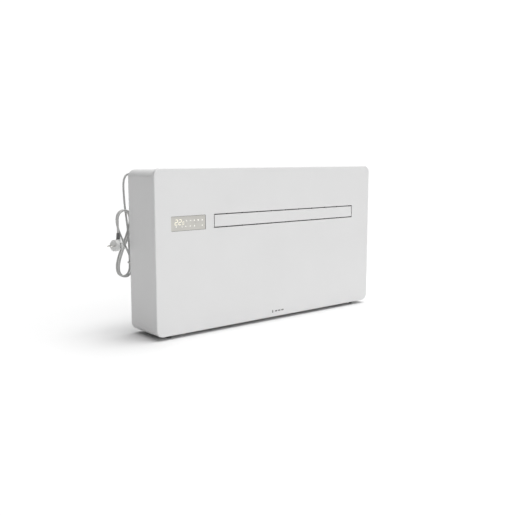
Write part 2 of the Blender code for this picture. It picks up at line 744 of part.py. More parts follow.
# ---- exhaust fan ----
def make_exhaust_fan():
    z = DUCTS["exhaust"]
    shroud_y = -0.032
    length = COLLAR_Y[0] - 0.0005 - shroud_y
    shroud = tube("exhaust_fan_shroud", (DUCT_X, shroud_y, z), length, 0.0655, 0.0620, "Y", BLACK, 48)
    flange = plate(
        "join_shroud_flange",
        [rounded_rectangle(0.070, z - 0.070, z + 0.070, 0.008, 4, DUCT_X)],
        shroud_y, shroud_y + 0.003, "XZ",
    )
    join(shroud, flange)
    cut(shroud, cylinder("cut_shroud", (DUCT_X, shroud_y - 0.01, z), 0.08, 0.0632, "Y", segments=48))
    motor = cylinder("exhaust_motor", (DUCT_X, -0.0035, z), 0.020, 0.0220, "Y", BLACK, 32)
    for i in range(3):
        turn = Matrix.Rotation(math.radians(90 + 120 * i), 4, "Y")
        strut = box(f"join_strut_{i}", (0.018, 0.006, -0.0025), (0.0624, 0.012, 0.0025))
        strut.data.transform(Matrix.Translation(strut.location))
        strut.location = (0, 0, 0)
        strut.matrix_world = Matrix.Translation((DUCT_X, 0, z)) @ turn
        join(motor, strut)
    hub = cylinder("exhaust_impeller", (DUCT_X, -0.0270, z), 0.0230, 0.0240, "Y", BLACK, 32)
    blade_count = 7
    for i in range(blade_count):
        blade = box(f"join_blade_{i}", (0.020, -0.0130, -0.0009), (0.0600, 0.0130, 0.0009))
        blade.data.transform(Matrix.Translation(blade.location))
        blade.location = (0, 0, 0)
        pitch = Matrix.Rotation(math.radians(48), 4, "X")
        around = Matrix.Rotation(2 * math.pi * i / blade_count, 4, "Y")
        blade.matrix_world = Matrix.Translation((DUCT_X, -0.0155, z)) @ around @ pitch
        join(hub, blade)
    hang_on(empty("exhaust_fan_axis", (DUCT_X, -0.0155, z)), hub)


# ---- duct collars and dampers ----
def make_duct(name, z, swing):
    """Collar, wall gasket and a two-leaf damper; swing is +1 where the leaves open out of the back."""
    front, back = COLLAR_Y
    outer = DUCT_RADIUS + COLLAR_WALL
    collar = tube(f"{name}_collar", (DUCT_X, front, z), back - front, outer, DUCT_RADIUS, "Y", GREY, 48)
    pin_radius = 0.0018
    half_pin = DUCT_RADIUS + 0.001
    pin_foot = (DUCT_X, DAMPER_Y, z - half_pin)
    join(collar, cylinder(f"join_{name}_pin", pin_foot, 2 * half_pin, pin_radius, "Z", segments=16))
    gasket_foot = (DUCT_X, REAR_PANEL[1] + GAP, z)
    tube(f"{name}_gasket", gasket_foot, BACK - gasket_foot[1], 0.0800, outer + 0.0007, "Y", FOAM, 48)
    for side, label in ((-1, "left"), (1, "right")):
        leaf_radius = DUCT_RADIUS - 0.0015
        edge = pin_radius + 0.0032
        limit = math.degrees(math.acos(edge / leaf_radius))
        arc = [math.radians(-limit + 2 * limit * i / 20) for i in range(21)]
        outline = [(DUCT_X + side * leaf_radius * math.cos(a), z + leaf_radius * math.sin(a)) for a in arc]
        thickness = 0.0016
        low_y, high_y = DAMPER_Y - thickness / 2, DAMPER_Y + thickness / 2
        leaf = plate(f"{name}_damper_{label}", [outline], low_y, high_y, "XZ", BLACK)
        knuckle = 0.012
        for k in range(2):
            height = z - 0.036 + k * 0.048 + (0.0 if side < 0 else 0.018)
            part = f"{name}_{label}_{k}"
            foot = (DUCT_X, DAMPER_Y, height)
            join(leaf, cylinder(f"join_knuckle_{part}", foot, knuckle, 0.0040, "Z", segments=16))
            near, far = sorted((DUCT_X + side * 0.003, DUCT_X + side * (edge + 0.001)))
            join(leaf, box(f"join_web_{part}", (near, low_y, height), (far, high_y, height + knuckle)))
        bore_foot = (DUCT_X, DAMPER_Y, z - 0.07)
        bore = cylinder(f"cut_{name}_bore_{label}", bore_foot, 0.14, pin_radius + 0.0005, "Z", segments=16)
        cut(leaf, bore)
        hang_on(empty(f"{name}_damper_{label}_hinge", (DUCT_X, DAMPER_Y, z)), leaf)


# ---- electronics ----
def make_electronics():
    low, high = (-0.488, -0.062, 0.425), (-0.300, -0.006, 0.535)
    wall = 0.0018
    tray = box("control_box", low, high, GALVANISED)
    hollow = box(
        "cut_control_box",
        (low[0] + wall, low[1] - 0.01, low[2] + wall),
        [value - wall for value in high],
    )
    cut(tray, hollow)
    box("control_box_lid", (low[0], low[1] - 0.0020, low[2]), (high[0], low[1] - GAP, high[2]), GALVANISED)
    board_y = high[1] - wall - 0.010
    margin = 0.006
    board = box(
        "control_board",
        (low[0] + margin, board_y, low[2] + margin),
        (high[0] - margin, board_y + 0.0016, high[2] - margin),
        BOARD,
    )
    parts = [
        ("relay", (0.020, 0.016, 0.024), (0.012, 0.015)),
        ("transformer", (0.040, 0.030, 0.034), (0.045, 0.014)),
        ("capacitor", (0.014, 0.024, 0.014), (0.098, 0.018)),
        ("heatsink", (0.030, 0.022, 0.050), (0.128, 0.030)),
    ]
    for name, size, (dx, dz) in parts:
        corner = (low[0] + margin + dx, board_y - size[1], low[2] + margin + dz)
        join(board, box(f"join_{name}", corner, (corner[0] + size[0], board_y + 0.0005, corner[2] + size[2])))
    blocks = (low[0] + 0.012, board_y - 0.016, high[2] - 0.030)
    box("terminal_block", blocks, (blocks[0] + 0.060, board_y - GAP, blocks[2] + 0.018), WHITE)


# ---- mains lead ----
CORD_DOWN = [
    (-0.4845, 0.1108, 0.5380), (-0.4845, 0.1150, 0.5380), (-0.4845, 0.1268, 0.5358),
    (-0.4845, 0.1373, 0.5296), (-0.4845, 0.1451, 0.5203), (-0.4845, 0.1493, 0.5080),
    (-0.4843, 0.1507, 0.4900), (-0.4833, 0.1512, 0.4650), (-0.4812, 0.1515, 0.4350),
    (-0.4780, 0.1515, 0.4050), (-0.4745, 0.1515, 0.3750), (-0.4715, 0.1515, 0.3450),
    (-0.4695, 0.1510, 0.3150), (-0.4684, 0.1508, 0.2850), (-0.4682, 0.1505, 0.2550),
]
CORD_TO_PLUG = [
    (-0.4950, 0.1254, 0.4168), (-0.5080, 0.1250, 0.4141), (-0.5177, 0.1247, 0.4056),
    (-0.5229, 0.1245, 0.3925), (-0.5241, 0.1245, 0.3770), (-0.5242, 0.1245, 0.3590),
    (-0.5240, 0.1245, 0.3413),
]
# the hank is a figure of eight that steps towards the casing as it winds
HANK_CENTRE = (-0.4945, 0.302)  # X, Z of its crossing
HANK_HALF = (0.026, 0.114)
HANK_REAR_Y = 0.150
HANK_STEP = 0.0152
HANK_TURN = (135, 706, 15)  # degrees from the top: where it starts, where it ends, and the step


def hank_points():
    points = []
    for angle in range(*HANK_TURN):
        turn = math.radians(angle)
        x = HANK_CENTRE[0] - HANK_HALF[0] * math.sin(2 * turn)
        z = HANK_CENTRE[1] + HANK_HALF[1] * math.cos(turn)
        points.append((x, HANK_REAR_Y - HANK_STEP * (angle - HANK_TURN[0]) / 360, z))
    return points


CORD_POINTS = 80


def smooth_route(points, count):
    """count points at equal spacing along a smooth curve through the given ones."""
    knots = [Vector(p) for p in points]
    ahead = [b - a for a, b in zip(knots, knots[1:])]
    slopes = [ahead[0]] + [(a + b) / 2 for a, b in zip(ahead, ahead[1:])] + [ahead[-1]]
    fine = [knots[0]]
    for a, b, slope_a, slope_b in zip(knots, knots[1:], slopes, slopes[1:]):
        fine += interpolate_bezier(a, a + slope_a / 3, b - slope_b / 3, b, 16)[1:]
    along = [0.0]
    for a, b in zip(fine, fine[1:]):
        along.append(along[-1] + (b - a).length)
    even = []
    j = 0
    for i in range(count):
        target = along[-1] * i / (count - 1)
        while j < len(along) - 2 and along[j + 1] < target:
            j += 1
        share = (target - along[j]) / (along[j + 1] - along[j])
        even.append(fine[j].lerp(fine[j + 1], share))
    return even


def make_cord():
    curve = bpy.data.curves.new("mains_cord", "CURVE")
    curve.dimensions = "3D"
    curve.bevel_depth = CORD_DIAMETER / 2
    curve.bevel_resolution = 2
    curve.use_fill_caps = True
    route = smooth_route(CORD_DOWN + hank_points() + CORD_TO_PLUG, CORD_POINTS)
    spline = curve.splines.new("POLY")
    spline.points.add(len(route) - 1)
    for point, place in zip(spline.points, route):
        point.co = (*place, 1)
    curve.materials.append(CORD)
    unit.objects.link(bpy.data.objects.new("mains_cord", curve))


def make_gland():
    """Moulded strain relief: a collar on the rear panel and a sleeve that tapers on to the cord."""
    base = REAR_PANEL[1] + GAP
    reach = GLAND_END_Y - base - 0.0003
    profile = [
        (0.0, reach), (0.0046, reach), (0.0066, 0.014), (0.0066, 0.0072), (0.0088, 0.0064),
        (0.0088, 0.0), (0.0054, 0.0), (0.0054, -0.008), (0.0, -0.008),
    ]
    turned("cord_gland", profile, (GLAND[0], base, GLAND[1]), "Y", GREY, 24)


def make_plug():
    """Angled two-pin plug with side earth contacts; the cord leaves it upwards."""
    cord_x, y = PLUG_CORD
    x, z = cord_x - PLUG_FACE, PLUG_Z
    length = 0.035
    profile = [
        (0.0, length), (0.0090, length), (0.0125, length - 0.003), (0.0150, length - 0.012), (0.0165, 0.0165),
        (0.0190, 0.0140), (0.0195, 0.0120), (0.0195, 0.0015), (0.0180, 0.0), (0.0, 0.0),
    ]
    body = turned("plug_body", profile, (x, y, z), "X", CORD, 32)
    top = CORD_TO_PLUG[-1][2] - GAP
    foot = (cord_x, y, z + 0.010)
    boss = cylinder("join_plug_boss", foot, top - foot[2], 0.0075, "Z", segments=20, end_radius=0.0050)
    join(body, boss)
    pieces = [body, boss]
    for side in (-1, 1):
        slot = box(
            f"cut_plug_earth_{side}",
            (x - 0.005, y - 0.0035, z + side * 0.0190 - 0.0022),
            (x + 0.011, y + 0.0035, z + side * 0.0190 + 0.0022),
        )
        cut(body, slot)
        pin_length = 0.019
        spacing = 0.0095
        label = "rear" if side > 0 else "front"
        tip = (x - GAP - pin_length, y + side * spacing, z)
        pin = cylinder(f"plug_pin_{label}", tip, pin_length, 0.0024, "X", NICKEL, 16)
        soften(pin, 0.0008)
        pieces += [slot, pin]
    pivot = Matrix.Translation((cord_x, y, 0))
    turn = pivot @ Matrix.Rotation(math.radians(PLUG_YAW), 4, "Z") @ pivot.inverted()
    bpy.context.view_layer.update()
    for piece in pieces:
        piece.matrix_world = turn @ piece.matrix_world


def make_tie():
    """Strap round the strands on the hank's lower right."""
    loops = [
        rounded_rectangle(0.0050 + grow, 0.1293 - grow, 0.1559 + grow, 0.0044 + grow, 4, -0.4689)
        for grow in (0.0012, 0.0)
    ]
    plate("cord_tie", loops, 0.2300, 0.2360, "XY", CORD)


def main():
    clear_scene()
    make_front_panel()
    make_case()
    make_rear_panel()
    make_wall_bracket()
    make_feet()
    make_panel_screws()
    make_outlet_frame()
    make_flap()
    make_flap_drive()
    make_display()
    make_scroll()
    make_end_plates()
    make_drum()
    make_drum_supports()
    make_core()
    make_tray()
    make_dividers()
    make_extract_filter()
    make_supply_filter()
    make_exhaust_fan()
    make_duct("intake", DUCTS["intake"], -1)
    make_duct("exhaust", DUCTS["exhaust"], 1)
    make_electronics()
    make_cord()
    make_gland()
    make_plug()
    make_tie()


main()
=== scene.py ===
"""Looks of the slim wall-hung heat recovery unit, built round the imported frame. Lengths are in metres."""

import json
import math

import bmesh
import bpy
from mathutils import Matrix, Vector


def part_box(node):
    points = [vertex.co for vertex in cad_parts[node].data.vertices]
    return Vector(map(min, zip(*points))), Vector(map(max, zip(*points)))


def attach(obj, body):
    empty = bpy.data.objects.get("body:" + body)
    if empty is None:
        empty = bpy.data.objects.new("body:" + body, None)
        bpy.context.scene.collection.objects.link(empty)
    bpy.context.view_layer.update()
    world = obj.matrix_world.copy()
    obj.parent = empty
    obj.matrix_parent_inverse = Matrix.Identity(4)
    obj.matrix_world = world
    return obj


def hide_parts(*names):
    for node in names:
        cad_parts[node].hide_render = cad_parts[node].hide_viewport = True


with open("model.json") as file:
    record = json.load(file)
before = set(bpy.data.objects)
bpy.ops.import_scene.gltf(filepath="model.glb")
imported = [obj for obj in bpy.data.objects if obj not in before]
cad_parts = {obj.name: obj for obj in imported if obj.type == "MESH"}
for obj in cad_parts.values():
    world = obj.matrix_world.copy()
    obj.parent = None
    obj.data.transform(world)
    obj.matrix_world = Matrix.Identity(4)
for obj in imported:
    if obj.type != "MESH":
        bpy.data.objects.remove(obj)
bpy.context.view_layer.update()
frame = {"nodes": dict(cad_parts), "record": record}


# ---- places read from the frame ----
def seen(node, axis):
    """A node's box, and its centre and half size seen along an axis."""
    low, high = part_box(node)
    sides = [i for i in range(3) if i != "XYZ".index(axis)]
    return low, high, tuple((low[i] + high[i]) / 2 for i in sides), tuple((high[i] - low[i]) / 2 for i in sides)


JOINT_AT = {joint["name"]: joint.get("pos_m") for joint in frame["record"]["behaviour"]["joints"]}
PANEL_LOW, PANEL_HIGH, PANEL_CENTRE, PANEL_HALF = seen("front_panel", "Y")
CASE_LOW, CASE_HIGH, CASE_CENTRE, CASE_HALF = seen("case_shell", "Y")
REAR_LOW, REAR_HIGH, REAR_CENTRE, REAR_HALF = seen("rear_panel", "Y")
LENS_LOW, LENS_HIGH, WINDOW_CENTRE, _ = seen("display_lens", "Y")
OUTLET_CENTRE = (seen("flap", "Y")[2][0], JOINT_AT["flap_tilt"][2] + 0.0158)
FRONT, BACK = PANEL_LOW.y, CASE_HIGH.y
PIVOT = Vector(JOINT_AT["flap_tilt"])
AXLE = Vector(JOINT_AT["supply_fan_spin"])

# ---- sizes that several pieces share ----
GAP = 0.0003  # between a piece and the face it stands on
BITE = 0.03  # how far a cutter goes through a sheet
CAP = 0.0010  # radius of the flat cap in the middle of a turned solid's ends
CORNER = 0.025  # radius of the cabinet's corners
WALL = 0.002  # the casing's sheet
OUTLET_HALF = (0.340, 0.02375)
WINDOW_HALF = (0.0685, 0.0245)
HOOK_X = 0.240  # the bracket's hooks, to each side
DUCT_RADIUS = 0.0615
WHITE = (1, 1, 1, 1)


# ---- materials ----
def add_node(tree, kind, inputs=None, operation=None):
    """A shader node; each input is a value, or the socket that feeds it."""
    node = tree.nodes.new(kind)
    if operation:
        node.operation = operation
    for key, value in (inputs or {}).items():
        if isinstance(value, bpy.types.NodeSocket):
            tree.links.new(value, node.inputs[key])
        else:
            node.inputs[key].default_value = value
    return node


def pattern(tree, scale, detail=None, stretch=(1, 1, 1), output=0):
    """The output of a texture in the piece's own coordinates: noise with a detail, cells without."""
    place = add_node(tree, "ShaderNodeTexCoord").outputs["Object"]
    mapping = add_node(tree, "ShaderNodeMapping", {"Scale": stretch, "Vector": place})
    inputs = {"Scale": scale, "Vector": mapping.outputs["Vector"]}
    if detail is None:
        return add_node(tree, "ShaderNodeTexVoronoi", inputs).outputs[output]
    return add_node(tree, "ShaderNodeTexNoise", {**inputs, "Detail": detail}).outputs[output]


def finish(name, colour, roughness, tone=None, gloss=None, bumps=(), **sockets):
    """A material whose tone, gloss and relief follow patterns, each given by what pattern takes.

    tone is a pattern and its stops (position, factor on the colour), gloss a pattern with the lowest and highest
    roughness, and each bump a pattern with its strength and distance.
    """
    material = bpy.data.materials.new(name)
    material.use_nodes = True
    tree = material.node_tree
    shader = tree.nodes["Principled BSDF"]
    shader.inputs["Base Color"].default_value = (*colour, 1.0)
    for socket, value in {"Roughness": roughness, **sockets}.items():
        shader.inputs[socket.replace("_", " ")].default_value = value
    if tone:
        source, *stops = tone
        ramp = add_node(tree, "ShaderNodeValToRGB", {"Fac": pattern(tree, *source)})
        elements = ramp.color_ramp.elements
        while len(elements) < len(stops):
            elements.new(0.5)
        for element, (position, factor) in zip(elements, stops):
            element.position = position
            element.color = (*[min(1.0, value * factor) for value in colour], 1.0)
        tree.links.new(ramp.outputs["Color"], shader.inputs["Base Color"])
    if gloss:
        source, low, high = gloss
        ranged = add_node(tree, "ShaderNodeMapRange", {
            "Value": pattern(tree, *source), "From Min": 0.3, "From Max": 0.7, "To Min": low, "To Max": high})
        tree.links.new(ranged.outputs["Result"], shader.inputs["Roughness"])
    relief = {}
    for source, strength, distance in bumps:
        inputs = {"Strength": strength, "Distance": distance, "Height": pattern(tree, *source), **relief}
        relief["Normal"] = add_node(tree, "ShaderNodeBump", inputs).outputs["Normal"]
    if relief:
        tree.links.new(relief["Normal"], shader.inputs["Normal"])
    return material


def moulded(name, colour, roughness=0.5, grain=1400.0, depth=0.10):
    """Injection-moulded plastic with a fine spark-eroded grain."""
    return finish(
        name, colour, roughness, ((14.0, 5.0), (0.30, 0.93), (0.70, 1.05)),
        ((40.0, 4.0), roughness - 0.06, roughness + 0.07), [((grain, 2.0), depth, 0.0003)])


def lit(name, colour, strength):
    """Light from the display's diodes, softened by the window in front of them."""
    return finish(
        name, colour, 0.5, ((200.0, 2.0), (0.3, 0.9), (0.7, 1.0)),
        Emission_Strength=strength, Emission_Color=(*colour, 1.0))


# Satin powder coat: faint orange peel and a hair of unevenness in tone and gloss.
ENAMEL = finish(
    "white_enamel", (0.735, 0.735, 0.735), 0.42, ((5.0, 4.0), (0.30, 0.985), (0.70, 1.012)),
    ((60.0, 5.0), 0.38, 0.47), [((650.0, 2.0), 0.05, 0.0004), ((90.0, 1.0), 0.02, 0.0010)],
    Coat_Weight=0.12, Coat_Roughness=0.3)
# Galvanised sheet: crystal spangle with a light rolling grain.
SPANGLE = (95.0, None, (1, 1, 1), "Color")
ZINC = finish(
    "galvanised_sheet", (0.60, 0.62, 0.63), 0.42, (SPANGLE, (0.15, 0.86), (0.55, 1.0), (0.90, 1.12)),
    (SPANGLE, 0.34, 0.52), [((900.0, 2.0, (0.05, 1, 1)), 0.06, 0.0003), ((30.0, 2.0), 0.03, 0.0015)],
    Metallic=0.85)
# Bright plating with a fine turning grain.
NICKEL = finish(
    "nickel", (0.78, 0.77, 0.74), 0.25, ((60.0, 4.0), (0.30, 0.88), (0.70, 1.06)),
    ((300.0, 3.0, (1, 0.1, 1)), 0.18, 0.35), [((1500.0, 2.0, (0.1, 1, 1)), 0.06, 0.0002)],
    Metallic=1.0)
# Closed-cell foam: small round cells and a soft mottle.
FOAM = finish(
    "insulation_foam", (0.060, 0.060, 0.064), 0.95, ((120.0, 5.0), (0.30, 0.70), (0.72, 1.35)),
    bumps=[((700.0,), 0.45, 0.0008), ((60.0, 3.0), 0.15, 0.0015)], Sheen_Weight=0.15, Sheen_Roughness=0.6)
# Filter fleece: tangled fibres over a soft mottle.
MEDIA = finish(
    "filter_fleece", (0.72, 0.76, 0.80), 0.95, ((45.0, 8.0), (0.28, 0.80), (0.72, 1.10)),
    bumps=[((900.0, 8.0, (1, 0.25, 1)), 0.40, 0.0008), ((900.0, 8.0, (0.25, 1, 1)), 0.30, 0.0008)],
    Sheen_Weight=0.3, Sheen_Roughness=0.5)
# Solder mask with darker copper runs under it.
RUNS = (120.0, None, (0.3, 1, 1), "Color")
BOARD = finish(
    "circuit_board", (0.02, 0.17, 0.07), 0.35, (RUNS, (0.35, 0.7), (0.50, 1.0), (0.62, 1.5)),
    bumps=[(RUNS, 0.10, 0.0002)], Coat_Weight=0.4, Coat_Roughness=0.15)
GREY = moulded("grey_plastic", (0.42, 0.43, 0.44))
BLACK = moulded("black_plastic", (0.025, 0.025, 0.026))
PALE = moulded("pale_plastic", (0.74, 0.74, 0.72), 0.45)
RUBBER = moulded("rubber", (0.022, 0.022, 0.023), 0.80, grain=900.0, depth=0.2)
LENS = moulded("display_window", (0.585, 0.572, 0.535), 0.30, grain=2000.0, depth=0.03)
CORE = moulded("exchanger_plates", (0.80, 0.83, 0.84), 0.35)
SHEATH = moulded("cord_sheath", (0.54, 0.54, 0.53), 0.42, grain=700.0, depth=0.05)
SLEEVE = moulded("plug_sleeve", (0.13, 0.13, 0.13), grain=900.0, depth=0.05)
PLUG = moulded("plug_plastic", (0.76, 0.76, 0.75), 0.42, grain=900.0, depth=0.08)
MARK = moulded("printed_mark", (0.16, 0.16, 0.16))
DIGITS = lit("warm_digits", (0.93, 0.89, 0.74), 0.36)
ICONS = lit("pale_icons", (0.92, 0.91, 0.87), 0.30)

SLOT_MATERIALS = {
    "white_enamel": ENAMEL, "galvanised": ZINC, "rubber": RUBBER, "nickel": NICKEL, "grey_plastic": GREY,
    "black_plastic": BLACK, "white_plastic": PALE, "display_lens": LENS, "circuit_board": BOARD,
    "exchanger_plastic": CORE, "foam": FOAM, "filter_media": MEDIA, "cord_grey": SHEATH,
}


# ---- outlines and profiles ----
def shrunk(sizes, by):
    return [size - by for size in sizes]


def spread(low, high, count):
    """count places evenly spaced from low to high."""
    return [low + (high - low) * i / (count - 1) for i in range(count)]


def rectangle(centre, half, radius, steps=12):
    """A rounded rectangle as a function of its inset, anticlockwise."""

    def outline(inset):
        points = []
        corner = max(radius - inset, 0.00005)
        reach = [size - inset - corner for size in half]
        for i, (u, v) in enumerate(((1, 1), (-1, 1), (-1, -1), (1, -1))):
            for j in range(steps + 1):
                turn = math.radians(90 * (i + j / steps))
                points.append((
                    centre[0] + u * reach[0] + corner * math.cos(turn),
                    centre[1] + v * reach[1] + corner * math.sin(turn),
                ))
        return points

    return outline


def circle(centre, radius, steps=64):
    """A circle as a function of its inset, anticlockwise."""

    def outline(inset):
        turns = [2 * math.pi * i / steps for i in range(steps)]
        return [
            (centre[0] + (radius - inset) * math.cos(turn), centre[1] + (radius - inset) * math.sin(turn))
            for turn in turns
        ]

    return outline


def fixed(loop):
    """A loop of points as an outline function that ignores the inset."""
    return lambda inset: loop


def slab(low, high, low_round=0.0, high_round=0.0, steps=4):
    """The profile of a plate from low to high whose two edges are rounded."""
    profile = []
    for radius, face, way in ((low_round, low, 1), (high_round, high, -1)):
        count = steps if radius else 0
        arc = []
        for i in range(count + 1):
            turn = math.pi / 2 * i / count if count else math.pi / 2
            arc.append((radius * (1 - math.sin(turn)), face + way * radius * (1 - math.cos(turn))))
        profile += arc if way > 0 else arc[::-1]
    return profile


def rounded(points, radius, steps=4, closed=True):
    """A polyline whose corners are replaced by arcs of a radius, or less where a side is short."""
    result = []
    last = len(points) - 1
    for i, point in enumerate(points):
        corner = Vector(point)
        to_last = Vector(points[i - 1]) - corner
        to_next = Vector(points[(i + 1) % len(points)]) - corner
        if (not closed and i in (0, last)) or to_last.angle(to_next) > math.radians(176):
            result.append(tuple(corner))
            continue
        half = to_last.angle(to_next) / 2
        reach = min(radius / math.tan(half), to_last.length * 0.48, to_next.length * 0.48)
        middle = corner + (to_last.normalized() + to_next.normalized()).normalized() * (reach / math.cos(half))
        first = corner + to_last.normalized() * reach - middle
        final = corner + to_next.normalized() * reach - middle
        start = math.atan2(first.y, first.x)
        sweep = (math.atan2(final.y, final.x) - start + math.pi) % math.tau - math.pi
        for j in range(steps + 1):
            turn = start + sweep * j / steps
            result.append((middle.x + first.length * math.cos(turn), middle.y + first.length * math.sin(turn)))
    return result


def ribbon(line, half_width):
    """The closed outline of a sheet along an open line, half_width(share of the line) to each side."""
    points = [Vector(point) for point in line]
    last = len(points) - 1
    upper, lower = [], []
    for i, point in enumerate(points):
        along = (points[min(i + 1, last)] - points[max(i - 1, 0)]).normalized()
        across = Vector((-along.y, along.x)) * half_width(i / last)
        upper.append(tuple(point + across))
        lower.append(tuple(point - across))
    return upper + lower[::-1]


# ---- solids ----
PLACE = {
    "X": lambda u, v, depth: (depth, u, v),
    "Y": lambda u, v, depth: (u, depth, v),
    "Z": lambda u, v, depth: (u, v, depth),
}


def link(name, data):
    """An object at the frame's origin."""
    obj = bpy.data.objects.new(name, data)
    bpy.context.scene.collection.objects.link(obj)
    return obj


def solid(build, material):
    """An object whose mesh is what build adds to an empty bmesh."""
    mesh = bpy.data.meshes.new("solid")
    work = bmesh.new()
    build(work)
    bmesh.ops.recalc_face_normals(work, faces=work.faces)
    work.to_mesh(mesh)
    work.free()
    mesh.materials.append(material)
    return link("solid", mesh)


def skin(work, rings, closed=False):
    """Faces between neighbouring rings of vertices, capped unless the last ring joins the first."""
    for near, far in zip(rings, rings[1:] + rings[:1] if closed else rings[1:]):
        for i in range(len(near)):
            j = (i + 1) % len(near)
            work.faces.new((near[i], near[j], far[j], far[i]))
    if not closed:
        work.faces.new(rings[0])
        work.faces.new(rings[-1])


def add_rings(work, outline, profile, axis, closed=False):
    """Skins an outline drawn at each (inset, depth) of a profile."""
    rings = [[work.verts.new(PLACE[axis](u, v, depth)) for u, v in outline(inset)] for inset, depth in profile]
    skin(work, rings, closed)


def swept(outlines, profile, axis, material, closed=False):
    """An outline, or a list of them kept as separate solids, drawn along a profile."""

    def build(work):
        for outline in outlines if isinstance(outlines, list) else [outlines]:
            add_rings(work, outline, profile, axis, closed)

    obj = solid(build, material)
    smooth(obj)
    return obj


def ring(outline, low, high, wall, edge, axis, material, steps=3):
    """A closed wall along an outline, between two depths, with rounded rims."""
    corners = rounded([(low, 0.0), (high, 0.0), (high, wall), (low, wall)], edge, steps)
    return swept(outline, [(inset, depth) for depth, inset in corners], axis, material, closed=True)


def extruded(loop, low, high, axis, material, edge=0.0):
    """A flat loop of points filled between two depths along an axis, with rounded edges."""
    obj = solid(lambda work: add_rings(work, fixed(loop), [(0, low), (0, high)], axis), material)
    if edge:
        soften(obj, edge, 2)
    smooth(obj)
    return obj


def flat(centre, axis):
    """A point's place across an axis and along it."""
    along = "XYZ".index(axis)
    return [value for i, value in enumerate(centre) if i != along], centre[along]


def lathe(centre, profile, axis, material, steps=64, closed=False):
    """A profile of (radius, height along the axis from the centre), turned round the axis."""
    across, base = flat(centre, axis)
    path = [(-radius, base + height) for radius, height in profile]
    return swept(circle(across, 0.0, steps), path, axis, material, closed)


def turned(centre, corners, edge, arc_steps, axis, material, steps):
    """A solid turned from an open profile whose corners are rounded by edge."""
    return lathe(centre, rounded(corners, edge, arc_steps, closed=False), axis, material, steps)


def tube(centre, outer, inner, low, high, axis, material, edge=0.0005, steps=96):
    """A sleeve with rounded rims, between two heights from the centre."""
    corners = [(outer, low), (outer, high), (inner, high), (inner, low)]
    return lathe(centre, rounded(corners, edge, 3), axis, material, steps, closed=True)


def rod(centre, radius, low, high, axis, material, edge=0.0, steps=48):
    """A round bar between two heights from the centre, with rounded ends."""
    across, base = flat(centre, axis)
    return swept(circle(across, radius, steps), slab(base + low, base + high, edge, edge), axis, material)


def block(low, high, material, edge=0.0, segments=2):
    """A box between two corners with rounded edges."""
    size = [h - l for l, h in zip(low, high)]
    middle = [(l + h) / 2 for l, h in zip(low, high)]
    place = Matrix.Translation(middle) @ Matrix.Diagonal((*size, 1.0))
    obj = solid(lambda work: bmesh.ops.create_cube(work, size=1.0, matrix=place), material)
    if edge:
        soften(obj, edge, segments)
    return obj


def soften(obj, width, segments):
    modifier = obj.modifiers.new("soften", "BEVEL")
    modifier.width = width
    modifier.segments = segments
    modifier.limit_method = "ANGLE"
    modifier.angle_limit = math.radians(35)
    modifier.harden_normals = False
    settle(obj)


def smooth(obj):
    obj.data.shade_smooth()
    obj.data.set_sharp_from_angle(angle=math.radians(34))
    if "weighted" not in obj.modifiers:
        weighted = obj.modifiers.new("weighted", "WEIGHTED_NORMAL")
        weighted.keep_sharp = True


def settle(obj):
    """Replaces the mesh with what its modifiers make of it, and clears them."""
    weighted = obj.modifiers.get("weighted")
    if weighted:
        obj.modifiers.remove(weighted)
    bpy.context.view_layer.update()
    evaluated = obj.evaluated_get(bpy.context.evaluated_depsgraph_get())
    mesh = bpy.data.meshes.new_from_object(evaluated)
    obj.modifiers.clear()
    obj.data = mesh
    smooth(obj)


def combine(obj, others, operation):
    """Cuts or fuses others into obj, and removes them."""
    obj.modifiers.clear()
    for other in others:
        other.modifiers.clear()
        modifier = obj.modifiers.new(operation, "BOOLEAN")
        modifier.operation = operation
        modifier.object = other
        modifier.solver = "EXACT"
    settle(obj)
    for other in others:
        bpy.data.objects.remove(other)
    return obj


def carve(obj, *others):
    return combine(obj, others, "DIFFERENCE")


def fuse(obj, *others):
    return combine(obj, others, "UNION")


def group(*objects):
    """Separate solids kept as one piece, with the first one's material."""
    work = bmesh.new()
    for obj in objects:
        work.from_mesh(obj.data)
    mesh = bpy.data.meshes.new("group")
    work.to_mesh(mesh)
    work.free()
    mesh.materials.append(objects[0].data.materials[0])
    for obj in objects:
        bpy.data.objects.remove(obj)
    piece = link("group", mesh)
    smooth(piece)
    return piece


def opening(outline, face, depth, axis, edge=0.0004, steps=3):
    """A cutter that goes in by depth from a face, and leaves the hole's rim rounded by edge."""
    profile = [(-edge, face - 0.004)]
    for i in range(steps + 1):
        turn = math.pi / 2 * i / steps
        profile.append((-edge * (1 - math.sin(turn)), face + edge * (1 - math.cos(turn))))
    profile.append((0.0, face + depth))
    return swept(outline, profile, axis, ENAMEL)


def cross_recess(centre, size, depth, axis, way):
    """The cutter for a screw head's cross: two crossed tapered bars going in along the axis."""
    across, face = flat(centre, axis)
    taper = [(-0.0001, face - way * 0.001), (0.0, face), (size * 0.15, face + way * depth)]
    narrow = size * 0.24
    return fuse(*[
        swept(rectangle(across, half, 0.0001, 2), taper, axis, ENAMEL) for half in ((size, narrow), (narrow, size))
    ])


def keep(name, piece, node=None, body="casing"):
    """A finished piece: it is named, rides on a body and may stand in for a CAD node."""
    piece.name = name
    if node:
        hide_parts(node)
    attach(piece, body)
    return piece


# ---- casing ----
def mark_outlines(grow):
    """The plain mark near the panel's lower edge: a short bar and three dashes."""
    z = PANEL_LOW.z + 0.021
    dashes = [rectangle((0.0075 + i * 0.0155, z), (0.0064 + grow, 0.0026 + grow), 0.0026 + grow, 6) for i in range(3)]
    return [rectangle((-0.0095, z), (0.0028 + grow, 0.0054 + grow), 0.0026 + grow, 6), *dashes]


